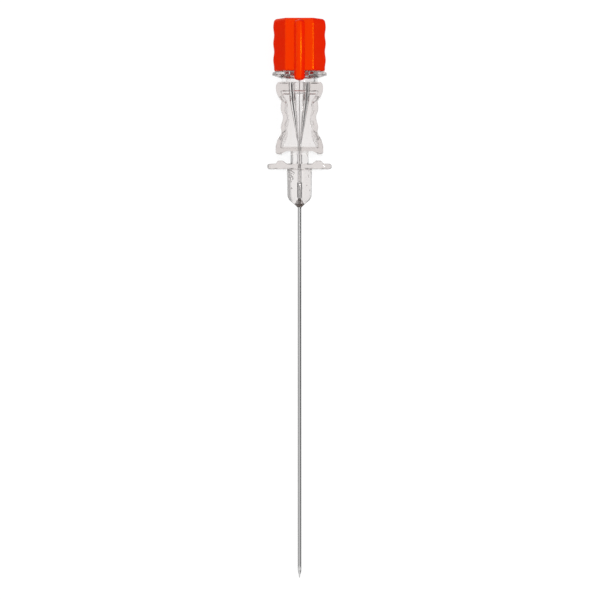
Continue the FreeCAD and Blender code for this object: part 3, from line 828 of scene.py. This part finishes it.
def spread(start, end, steps):
    """Equal steps between two values, without the first one."""
    return [start + (end - start) * step / steps for step in range(1, steps + 1)]


def lead_in(radius, steps=ARC_STEPS):
    """Distances from an end that follow a quarter circle, from 0 to its radius."""
    return [radius * (1 - math.cos(math.radians(ARC_STEP * step))) for step in range(steps + 1)]


def lead_out(end, radius, steps=ARC_STEPS, step_angle=ARC_STEP):
    """The same towards an end, without the first one."""
    turns = [math.radians(step_angle * step) for step in range(1, steps + 1)]
    return [end - radius * (1 - math.sin(turn)) for turn in turns]


def make_grip():
    low = GRIP_LENGTH + FOOT_DROP
    downs = lead_in(TOP_ROUND)
    downs += spread(TOP_ROUND, low - FOOT_ROUND, GRIP_STEPS)
    downs += lead_out(low, FOOT_ROUND)
    rings = []
    for down in downs:
        pull = rounded_end(down, 0.0, TOP_ROUND) + rounded_end(down, low, FOOT_ROUND)
        width = grip_half_width(down) - pull
        depth = grip_half_depth(down) - pull
        rings.append(rectangle_ring(width, depth, EDGE, NECK_END + down))
    return skin("grip", rings)


grip = make_grip()
measure(grip)

# %% [markdown]
# The front and back of the grip are recessed panels with a wedge of solid plastic left between
# them, thick under the collar and thin at the base. The recess tool has its own rounded inner
# corners and a chamfered lip. A second tool arches the underside of the base plate between the
# two hanging corners.

# %% Hub: panels and arch
SIDE_WALL = 0.62
BASE_THICKNESS = 0.53
WEB_TOP = 4.9
WEB_FOOT = 2.7
PANEL_CORNER = 0.25
LIP = 0.05
PANEL_STEPS = 90
ARCH_FLAT = 1.7
ARCH_FOOT = 2.8
ARCH_STEPS = 12
ARCH_SLANT = 0.02
ARCH_HALF_DEPTH = 5.0
BEYOND = 2.0


def make_panel_tool(side):
    start = PANEL_TOP
    end = GRIP_LENGTH - BASE_THICKNESS
    rings = []
    for step in range(PANEL_STEPS + 1):
        turn = math.pi * step / PANEL_STEPS
        down = start + (end - start) * (1 - math.cos(turn)) / 2
        pull = rounded_end(down, start, PANEL_CORNER) + rounded_end(down, end, PANEL_CORNER)
        share = (down - start) / (end - start)
        level = (WEB_TOP + (WEB_FOOT - WEB_TOP) * share) / 2 + pull
        reach = grip_half_width(min(down, GRIP_LENGTH - BASE_SHOULDER)) - SIDE_WALL - pull
        surface = grip_half_depth(down)
        outline = soften([
            (reach + LIP + BEYOND, surface + BEYOND),
            (reach, surface - LIP),
            (reach, level, PANEL_CORNER),
            (-reach, level, PANEL_CORNER),
            (-reach, surface - LIP),
            (-reach - LIP - BEYOND, surface + BEYOND),
        ])
        rings.append([place(spot.x, NECK_END + down, side * spot.y) for spot in outline])
    return skin("panel_tool", rings)


def make_arch_tool():
    """The space between the hanging corners of the base plate."""
    half = [(0.0, GRIP_END)]
    for step in range(ARCH_STEPS + 1):
        share = step / ARCH_STEPS
        across = ARCH_FLAT + (ARCH_FOOT - ARCH_FLAT) * share
        half.append((across, hermite(share, GRIP_END, GRIP_END + FOOT_DROP, 0, 0)))
    half.append((ARCH_FOOT + ARCH_SLANT, GRIP_END + FOOT_DROP + BEYOND))
    outline = [(-across, station) for across, station in reversed(half[1:])] + half
    rings = []
    for level in (-ARCH_HALF_DEPTH, ARCH_HALF_DEPTH):
        rings.append([place(across, station, level) for across, station in outline])
    return skin("arch_tool", rings)


for side in (1, -1):
    combine(grip, make_panel_tool(side), "DIFFERENCE")
combine(grip, make_arch_tool(), "DIFFERENCE")
measure(grip)

# %% [markdown]
# The winged flange is a plate with fully rounded ends and a low finger ridge on each side. It is
# skinned across the needle: each ring is the plate's section at one x, as deep as the plan view
# is there and as thick as the front view is there.

# %% Hub: winged flange
WING_HALF = hub_high.x
WING_DEPTH = 2.9
WING_CORNER = 1.4
WING_EDGE = 0.2
WING_STEPS = 150
RIDGE_OUTER = 3.33
RIDGE_CREST = 2.45
RIDGE_INNER = 1.75
RIDGE_HEIGHT = 0.43
RIDGE_TOE = 0.2
RIDGE_TOE_HEIGHT = 0.06
RIDGE_POWER = 8


def ridge_rise(across):
    """Height of a finger ridge above the plate: a steep outer side and a long inner slope."""
    across = abs(across)
    if across >= RIDGE_OUTER:
        share = min((across - RIDGE_OUTER) / RIDGE_TOE, 1)
        return hermite(share, RIDGE_TOE_HEIGHT, 0.0, 0, 0)
    if across >= RIDGE_CREST:
        share = ((across - RIDGE_CREST) / (RIDGE_OUTER - RIDGE_CREST)) ** RIDGE_POWER
        return RIDGE_HEIGHT * (1 - share) + RIDGE_TOE_HEIGHT * share
    if across >= RIDGE_INNER:
        return hermite((across - RIDGE_INNER) / (RIDGE_CREST - RIDGE_INNER), 0.0, RIDGE_HEIGHT, 0, 0)
    return 0.0


def make_wing():
    thick = WING_THICKNESS / 2
    rings = []
    for step in range(WING_STEPS + 1):
        across = -WING_HALF * math.cos(math.pi * step / WING_STEPS)
        past = abs(across) - (WING_HALF - thick)
        half_thick = thick if past <= 0 else math.sqrt(max(thick * thick - past * past, TINY))
        round_off = abs(across) - (WING_HALF - WING_CORNER)
        depth = WING_DEPTH
        if round_off > 0:
            depth -= WING_CORNER - math.sqrt(max(WING_CORNER ** 2 - round_off ** 2, 0))
        near = WING_MIDDLE - half_thick - ridge_rise(across)
        far = WING_MIDDLE + half_thick
        edge = min(WING_EDGE, half_thick * 0.9)
        outline = soften(
            [(near, depth, edge), (far, depth, edge), (far, -depth, edge), (near, -depth, edge)],
            closed=True,
        )
        rings.append([place(across, spot.x, spot.y) for spot in outline])
    return skin("wing", rings)


wing = make_wing()
measure(wing)

# %% [markdown]
# The way through the hub starts as the tapered socket that a syringe pushes into, runs down a
# long funnel that guides the stylet, and ends in the bore that holds the steel tube. Seen through
# the clear wall, the funnel draws the tall dark V in the photograph.

# %% Hub: bore
FIT = 0.006
CANNULA_RADIUS = 0.265
LUMEN_RADIUS = 0.155
WIRE_RADIUS = 0.13
SOCKET_RADIUS = 2.15
SOCKET_TAPER = 0.03
SOCKET_DEPTH = 1.7
MOUTH_CHAMFER = 0.12
FUNNEL_RADIUS = 1.62
THROAT_RADIUS = 1.45
THROAT = 4.2
FUNNEL_END = 10.3
BORE_RADIUS = 0.27
GUIDE_RADIUS = 0.2
GUIDE_LENGTH = 2.0
GUIDE_TOP = cannula_top - GUIDE_LENGTH
GUIDE_LEAD = 0.6
WELL_RADIUS = 0.58
SHOULDER_EDGE = 0.08
THROAT_CURVE = 3.0
FUNNEL_CURVE = 1.5
GUIDE_CURVE = 0.3

bore_profile = soften([
    (0, -BEYOND),
    (SOCKET_RADIUS + MOUTH_CHAMFER, -BEYOND),
    (SOCKET_RADIUS + MOUTH_CHAMFER, 0),
    (SOCKET_RADIUS, MOUTH_CHAMFER),
    (SOCKET_RADIUS - SOCKET_TAPER * SOCKET_DEPTH, SOCKET_DEPTH, SHOULDER_EDGE),
    (FUNNEL_RADIUS, SOCKET_DEPTH, SHOULDER_EDGE),
    (THROAT_RADIUS, THROAT, THROAT_CURVE),
    (BORE_RADIUS, FUNNEL_END, FUNNEL_CURVE),
    (BORE_RADIUS, GUIDE_TOP - GUIDE_LEAD, GUIDE_CURVE),
    (GUIDE_RADIUS, GUIDE_TOP, GUIDE_CURVE),
    (GUIDE_RADIUS, cannula_top),
    (CANNULA_RADIUS + FIT, cannula_top),
    (CANNULA_RADIUS + FIT, well_top),
    (WELL_RADIUS, nose_end),
    (WELL_RADIUS, nose_end + BEYOND),
    (0, nose_end + BEYOND),
])
NOTCH_HALF = 1.35

combine(hub, grip, "UNION")
combine(hub, wing, "UNION")
combine(hub, turned("bore", bore_profile), "DIFFERENCE")
for side in (1, -1):
    inner, outer = sorted((side * NECK_RADIUS, side * (LUG_RADIUS + BEYOND)))
    notch = block("notch", (-NOTCH_HALF, -BEYOND, inner), (NOTCH_HALF, LUG_FOOT, outer))
    combine(hub, notch, "DIFFERENCE")
measure(hub)

# %% [markdown]
# ## Finishing a piece
#
# A finished piece is scaled from millimetres to metres, shaded smooth except at its sharp edges,
# and given its finish and the CAD body it rides on.

# %% Helper: finish a piece
SHARP = math.radians(32)


def finish_piece(piece, body, node, finish=None):
    """Without a finish, the piece keeps the materials that its tree gave it."""
    mesh = piece.data
    for vertex in mesh.vertices:
        vertex.co *= MM
    if finish:
        mesh.materials.clear()
        mesh.materials.append(finish)
    mesh.shade_smooth()
    mesh.set_sharp_from_angle(angle=SHARP)
    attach(piece, body)
    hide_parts(node)
    finishes = ", ".join(item.name for item in mesh.materials)
    print("%s stands for %s on %s, in %s" % (piece.name, node, body, finishes))


# %% [markdown]
# ## Trapped bubbles
#
# The photograph shows small dark specks in the nose, where air was trapped between the moulding
# and the bonded tube. Geometry Nodes scatter them with a fixed seed: points at random turns and
# stations inside the nose's wall, a small ball on each, all turned inside out, because a bubble
# is a hole in the plastic. The result joins the hub's own mesh.


# %% Helper: geometry node trees
def new_tree(name, inputs):
    """A Geometry Nodes tree with named inputs. It returns the tree, its inputs and its output."""
    tree = bpy.data.node_groups.new(name, "GeometryNodeTree")
    tree.interface.new_socket("Geometry", in_out="OUTPUT", socket_type="NodeSocketGeometry")
    for label, kind in inputs:
        tree.interface.new_socket(label, in_out="INPUT", socket_type=kind)
    start = tree.nodes.new("NodeGroupInput")
    end = tree.nodes.new("NodeGroupOutput")
    return tree, start.outputs, end.inputs["Geometry"]


def grow(name, tree, **values):
    """A plain mesh piece from a tree, with the tree's inputs set by their labels."""
    piece = new_piece(name, bpy.data.meshes.new(name))
    modifier = piece.modifiers.new("grow", "NODES")
    modifier.node_group = tree
    for item in tree.interface.items_tree:
        label = item.name.replace(" ", "_")
        if item.in_out == "INPUT" and label in values:
            modifier[item.identifier] = values[label]
    bake(piece)
    return piece


# %% Bubbles in the nose
BUBBLE_STRETCH = 1.6


def make_bubble_tree():
    tree, given, result = new_tree("bubbles", [
        ("Count", "NodeSocketInt"), ("Seed", "NodeSocketInt"),
        ("Start", "NodeSocketFloat"), ("End", "NodeSocketFloat"),
        ("First Turn", "NodeSocketFloat"), ("Last Turn", "NodeSocketFloat"),
        ("Inner", "NodeSocketFloat"), ("Outer", "NodeSocketFloat"),
        ("Smallest", "NodeSocketFloat"), ("Largest", "NodeSocketFloat"),
        ("Height", "NodeSocketFloat"), ("Finish", "NodeSocketMaterial"),
    ])

    def chance(low, high, offset):
        seed = maths(tree, "ADD", given["Seed"], offset)
        made = tree.nodes.new("FunctionNodeRandomValue")
        fill(tree, made.inputs[2], low)
        fill(tree, made.inputs[3], high)
        tree.links.new(seed, made.inputs["Seed"])
        return made.outputs[1]

    turn = chance(given["First Turn"], given["Last Turn"], 0)
    radius = chance(given["Inner"], given["Outer"], 1)
    along = chance(given["Start"], given["End"], 2)
    across = maths(tree, "MULTIPLY", radius, maths(tree, "COSINE", turn))
    up = maths(tree, "MULTIPLY", radius, maths(tree, "SINE", turn))
    level = maths(tree, "ADD", up, given["Height"])
    spot = add(tree, "ShaderNodeCombineXYZ", X=across, Y=along, Z=level)
    points = add(tree, "GeometryNodePoints", Count=given["Count"], Position=spot.outputs[0])
    ball = add(tree, "GeometryNodeMeshIcoSphere", Radius=1.0, Subdivisions=3)
    size = chance(given["Smallest"], given["Largest"], 3)
    long = maths(tree, "MULTIPLY", size, BUBBLE_STRETCH)
    scale = add(tree, "ShaderNodeCombineXYZ", X=size, Y=long, Z=size)
    balls = add(
        tree, "GeometryNodeInstanceOnPoints",
        Points=points.outputs[0], Instance=ball.outputs[0], Scale=scale.outputs[0],
    )
    real = add(tree, "GeometryNodeRealizeInstances", Geometry=balls.outputs[0])
    hollow = add(tree, "GeometryNodeFlipFaces", Mesh=real.outputs[0])
    painted = add(tree, "GeometryNodeSetMaterial", Geometry=hollow.outputs[0], Material=given["Finish"])
    tree.links.new(painted.outputs[0], result)
    return tree


bubble_tree = make_bubble_tree()
in_nose = dict(Start=mouth_y - (WING_BACK + 0.1), Height=axis_z, Finish=clear_plastic)
bubbles = grow(
    "bubbles", bubble_tree, Count=16, Seed=7, End=mouth_y - (nose_end - 1.9),
    First_Turn=0.0, Last_Turn=2 * math.pi, Inner=0.8, Outer=1.4,
    Smallest=0.03, Largest=0.08, **in_nose,
)
crowd = grow(
    "bubble_crowd", bubble_tree, Count=20, Seed=3, End=mouth_y - (WING_BACK + 1.7),
    First_Turn=math.radians(135), Last_Turn=math.radians(200), Inner=0.75, Outer=1.5,
    Smallest=0.06, Largest=0.13, **in_nose,
)


def absorb(piece, extra):
    """Adds the faces of another mesh to a piece's own, unchanged."""
    build = bmesh.new()
    build.from_mesh(piece.data)
    build.from_mesh(extra.data)
    build.to_mesh(piece.data)
    build.free()
    mesh = extra.data
    bpy.data.objects.remove(extra)
    bpy.data.meshes.remove(mesh)


absorb(hub, bubbles)
absorb(hub, crowd)
measure(hub)
finish_piece(hub, "needle", "hub", clear_plastic)

# %% [markdown]
# ## Steel tube and wire
#
# The tube and the wire are the same rule with different numbers: a round section drawn along the
# axis, a hole or none, and flat facets ground at the point. One Geometry Nodes tree draws both.
# Each facet is a big block hinged at the back of the tube and tilted to the facet's angle, and
# an exact boolean takes it off. The tube's point has one long facet and two short side ones. The
# wire has only the long one, so its side blocks hinge far beyond its point, where they miss it,
# and its rod is drawn a little too long for the long facet to end it.

# %% Tree for ground tube and wire
BEVEL_ANGLE = 12.0
LANCET_ANGLE = 19.0
LANCET_TURN = 60.0
LANCET_LEAD = 0.4
WIRE_SETBACK = 0.65
WIRE_SPARE = 1.0
NO_SIDE_FACETS = 9.0
TUBE_SIDES = 96
BLOCK_SIZE = 12.0


def make_ground_tree():
    tree, given, result = new_tree("ground_tube", [
        ("Radius", "NodeSocketFloat"), ("Hole", "NodeSocketFloat"),
        ("Top", "NodeSocketFloat"), ("Point", "NodeSocketFloat"), ("Height", "NodeSocketFloat"),
        ("Hinge", "NodeSocketFloat"), ("Angle", "NodeSocketFloat"), ("Side Angle", "NodeSocketFloat"),
        ("Side Turn", "NodeSocketFloat"), ("Side Hinge", "NodeSocketFloat"),
        ("Skin", "NodeSocketMaterial"), ("Facet", "NodeSocketMaterial"),
    ])

    def rod(radius, spare):
        low = vector(Y=maths(tree, "SUBTRACT", given["Point"], spare), Z=given["Height"])
        high = vector(Y=maths(tree, "ADD", given["Top"], spare), Z=given["Height"])
        way = add(tree, "GeometryNodeCurvePrimitiveLine", Start=low, End=high)
        ring = add(tree, "GeometryNodeCurvePrimitiveCircle", Resolution=TUBE_SIDES, Radius=radius)
        made = add(
            tree, "GeometryNodeCurveToMesh",
            Curve=way.outputs[0], Profile_Curve=ring.outputs[0], Fill_Caps=True,
        )
        return made.outputs[0]

    def cut_away(body, tool):
        made = add(tree, "GeometryNodeMeshBoolean", {"operation": "DIFFERENCE", "solver": "EXACT"})
        tree.links.new(body, made.inputs["Mesh 1"])
        tree.links.new(tool, made.inputs["Mesh 2"])
        return made.outputs[0]

    def vector(**parts):
        return add(tree, "ShaderNodeCombineXYZ", **parts).outputs[0]

    def moved(geometry, **change):
        return add(tree, "GeometryNodeTransform", Geometry=geometry, **change).outputs[0]

    def painted(geometry, material):
        made = add(tree, "GeometryNodeSetMaterial", Geometry=geometry, Material=given[material])
        return made.outputs[0]

    def grinding_block(angle, turn, hinge):
        """A block whose lower face passes through the back of the tube at the hinge."""
        cube = add(tree, "GeometryNodeMeshCube", Size=(BLOCK_SIZE,) * 3).outputs[0]
        lifted = moved(cube, Translation=(0, 0, BLOCK_SIZE / 2))
        tilted = moved(lifted, Rotation=vector(X=angle))
        lowered = moved(tilted, Translation=vector(Z=maths(tree, "MULTIPLY", given["Radius"], -1.0)))
        rolled = moved(lowered, Rotation=vector(Y=turn))
        placed = moved(rolled, Translation=vector(Y=hinge, Z=given["Height"]))
        return painted(placed, "Facet")

    solid = painted(rod(given["Radius"], 0.0), "Skin")
    tube = cut_away(solid, painted(rod(given["Hole"], 1.0), "Skin"))
    hollow = add(tree, "FunctionNodeCompare", {"operation": "GREATER_THAN"}, A=given["Hole"], B=0.0)
    body = tree.nodes.new("GeometryNodeSwitch")
    tree.links.new(hollow.outputs[0], body.inputs["Switch"])
    tree.links.new(solid, body.inputs["False"])
    tree.links.new(tube, body.inputs["True"])
    ground = cut_away(body.outputs[0], grinding_block(given["Angle"], 0.0, given["Hinge"]))
    for sign in (1.0, -1.0):
        turn = maths(tree, "MULTIPLY", given["Side Turn"], sign)
        ground = cut_away(ground, grinding_block(given["Side Angle"], turn, given["Side Hinge"]))
    real = add(tree, "GeometryNodeRealizeInstances", Geometry=ground)
    tree.links.new(real.outputs[0], result)
    return tree


ground_tree = make_ground_tree()
steel = dict(
    Height=axis_z, Angle=math.radians(BEVEL_ANGLE), Side_Angle=math.radians(LANCET_ANGLE),
    Side_Turn=math.radians(LANCET_TURN), Facet=ground_steel,
)
cannula = grow(
    "cannula_tube", ground_tree, Radius=CANNULA_RADIUS, Hole=LUMEN_RADIUS, Skin=drawn_steel,
    Top=mouth_y - cannula_top, Point=mouth_y - point,
    Hinge=mouth_y - point - LANCET_LEAD, Side_Hinge=mouth_y - point, **steel,
)
measure(cannula)
wire = grow(
    "stylet_rod", ground_tree, Radius=WIRE_RADIUS, Hole=0.0, Skin=polished_steel,
    Top=mouth_y + wire_anchor, Point=mouth_y - wire_point - WIRE_SPARE,
    Hinge=mouth_y - point - LANCET_LEAD + WIRE_SETBACK,
    Side_Hinge=mouth_y - point - NO_SIDE_FACETS, **steel,
)
measure(wire)

# %% [markdown]
# ## Adhesive
#
# A ring of adhesive fills the well at the nose's end and runs out along the tube in a fillet. It
# is turned as a closed ring, a hair clear of the tube and of the well, as the CAD piece is.

# %% Adhesive ring
FILLET_RIM = 0.78
FILLET_WAIST = 0.50
FILLET_BEND = 0.25
FILLET_CURVE = 0.3
ADHESIVE_RIM_EDGE = 0.02
ADHESIVE_END_WALL = 0.06
WELL_GAP = 0.02


def turned_ring(name, profile, sides=ROUND_SIDES):
    """A closed ring turned about the axis from a closed profile of (radius, station)."""
    build = bmesh.new()
    rows = []
    for side in range(sides):
        turn = 2 * math.pi * side / sides
        rows.append([
            build.verts.new(place(radius * math.cos(turn), station, radius * math.sin(turn)))
            for radius, station in profile
        ])
    for side in range(sides):
        first, second = rows[side], rows[(side + 1) % sides]
        for index in range(len(profile)):
            after = (index + 1) % len(profile)
            build.faces.new((first[index], first[after], second[after], second[index]))
    bmesh.ops.recalc_face_normals(build, faces=build.faces)
    mesh = bpy.data.meshes.new(name)
    build.to_mesh(mesh)
    build.free()
    return new_piece(name, mesh)


adhesive = turned_ring("adhesive_ring", soften([
    (CANNULA_RADIUS + FIT / 2, well_top + WELL_GAP),
    (WELL_RADIUS - FIT, nose_end + FIT),
    (FILLET_RIM, nose_end + FIT, ADHESIVE_RIM_EDGE),
    (FILLET_WAIST, nose_end + FILLET_BEND, FILLET_CURVE),
    (CANNULA_RADIUS + ADHESIVE_END_WALL, adhesive_end),
    (CANNULA_RADIUS + FIT / 2, adhesive_end),
], closed=True))
measure(adhesive)
finish_piece(adhesive, "needle", "adhesive", cured_adhesive)

# %% [markdown]
# ## The cap
#
# The cap is eight-sided seen along the needle, and its two sides swell three times so that a
# finger and thumb can pull it. It is skinned through a rounded eight-sided ring at each of many
# levels. The ring's width follows a cosine for the swells, and the last levels pull in for the
# rounded edges. The crowned top is the same ring shrunk to a point in steps.

# %% Cap: block with swelling sides
CAP_HALF = cap_high.x
PANEL_HALF = 2.0
CAP_FRONT = 3.3
CAP_BEVEL = 1.75
CROWN = 0.15
TOP_CORNER = 0.4
TOP_EDGE = 0.8
FOOT_CORNER = 0.3
PANEL_EDGE = 0.3
SIDE_EDGE = 0.45
SWELL_PITCH = 2.37
SWELL_HEIGHT = 0.06
SWELL_FIRST = 1.6
CAP_STEPS = 90
CROWN_STEPS = 12


def cap_ring(level, shrink=1.0, rise=0.0):
    """The cap's eight-sided ring at a level above the mouth."""
    wave = SWELL_HEIGHT * math.cos(2 * math.pi * (level - SWELL_FIRST) / SWELL_PITCH)
    top_low = cap_height - CROWN
    pull_in = rounded_end(level, 0.0, FOOT_CORNER) + rounded_end(level, top_low, TOP_CORNER)
    pull_down = rounded_end(level, 0.0, FOOT_CORNER / 2) + rounded_end(level, cap_height, TOP_EDGE)
    half = CAP_HALF - SWELL_HEIGHT + wave - pull_in
    front_z = CAP_FRONT - pull_down
    back_z = -axis_z + pull_down
    front_side = CAP_FRONT - CAP_BEVEL
    back_side = -axis_z + CAP_BEVEL
    corners = [
        (PANEL_HALF, front_z, PANEL_EDGE), (-PANEL_HALF, front_z, PANEL_EDGE),
        (-half, front_side, SIDE_EDGE), (-half, back_side, SIDE_EDGE),
        (-PANEL_HALF, back_z, PANEL_EDGE), (PANEL_HALF, back_z, PANEL_EDGE),
        (half, back_side, SIDE_EDGE), (half, front_side, SIDE_EDGE),
    ]
    outline = soften(corners, closed=True)
    centre = (front_z + back_z) / 2
    ring = []
    for spot in outline:
        across = spot.x * shrink
        height = centre + (spot.y - centre) * shrink
        crown = rise * (1 - (across / CAP_HALF) ** 2)
        ring.append(place(across, -(level + crown), height))
    return ring


def make_cap_block():
    top_low = cap_height - CROWN
    end = top_low - TOP_CORNER
    levels = lead_in(FOOT_CORNER)
    levels += spread(FOOT_CORNER, end, CAP_STEPS)
    levels += lead_out(top_low, TOP_CORNER, steps=9, step_angle=10)
    rings = []
    for level in levels:
        rise = CROWN * min(max((level - end) / (top_low - end), 0), 1) ** 2
        rings.append(cap_ring(level, rise=rise))
    for step in range(1, CROWN_STEPS):
        rings.append(cap_ring(top_low, shrink=1 - step / CROWN_STEPS, rise=CROWN))
    rings.append([place(0, -(top_low + CROWN), (CAP_FRONT - axis_z) / 2)])
    return skin("stylet_handle", rings)


cap = make_cap_block()
measure(cap)

# %% [markdown]
# A half-round rib runs down the cap's front and goes on below it as the key that drops into the
# hub's notch. A short spigot under the cap centres it in the socket.

# %% Cap: rib, key, spigot and wire hole
KEY_RADIUS = 0.8
KEY_END_LENGTH = 0.45
KEY_CENTRE = cap_high.z - axis_z - KEY_RADIUS
KEY_CLEARANCE = 0.15
KEY_TOP_GAP = 0.25
PLUG_LENGTH = 0.7
PLUG_RADIUS = 2.09
PLUG_EDGE = 0.1
INTO_CAP = 1.0
HOLE_SPARE = 0.01
RELIEF_HALF = 5.0


def round_ended(radius, rise, top, low):
    """Profile of a rod with an elliptical dome at each end, between two stations."""
    half = [math.radians(7.5 * step) for step in range(13)]
    upper = [(radius * math.sin(turn), top + rise * (1 - math.cos(turn))) for turn in half]
    lower = [(radius * math.cos(turn), low - rise * (1 - math.sin(turn))) for turn in half]
    return upper + lower


rib_profile = round_ended(KEY_RADIUS, KEY_END_LENGTH, KEY_TOP_GAP - cap_height, key_drop)
key = turned("key", rib_profile, centre=KEY_CENTRE)
relief_top = NECK_RADIUS + KEY_CLEARANCE
relief = block("relief", (-RELIEF_HALF, 0, -axis_z), (RELIEF_HALF, key_drop + BEYOND, relief_top))
combine(key, relief, "DIFFERENCE")
combine(cap, key, "UNION")
spigot = turned("spigot", soften([
    (0, -INTO_CAP),
    (PLUG_RADIUS, -INTO_CAP),
    (PLUG_RADIUS, PLUG_LENGTH, PLUG_EDGE),
    (0, PLUG_LENGTH),
]))
combine(cap, spigot, "UNION")
hole_end = -wire_anchor - HOLE_SPARE
wire_hole = turned("wire_hole", [
    (0, hole_end),
    (WIRE_RADIUS + FIT, hole_end),
    (WIRE_RADIUS + FIT, PLUG_LENGTH + BEYOND),
    (0, PLUG_LENGTH + BEYOND),
], sides=48)
combine(cap, wire_hole, "DIFFERENCE")
measure(cap)
finish_piece(cap, "stylet", "stylet_cap", orange_plastic)

# %% [markdown]
# ## Steel pieces take two finishes
#
# The tube and the wire are finished last. Each keeps both of the materials that its tree set,
# the skin and the ground facets, because only the grinding lays the steel's facets bare.

# %% Finish the steel
finish_piece(cannula, "needle", "cannula")
finish_piece(wire, "stylet", "stylet_wire")
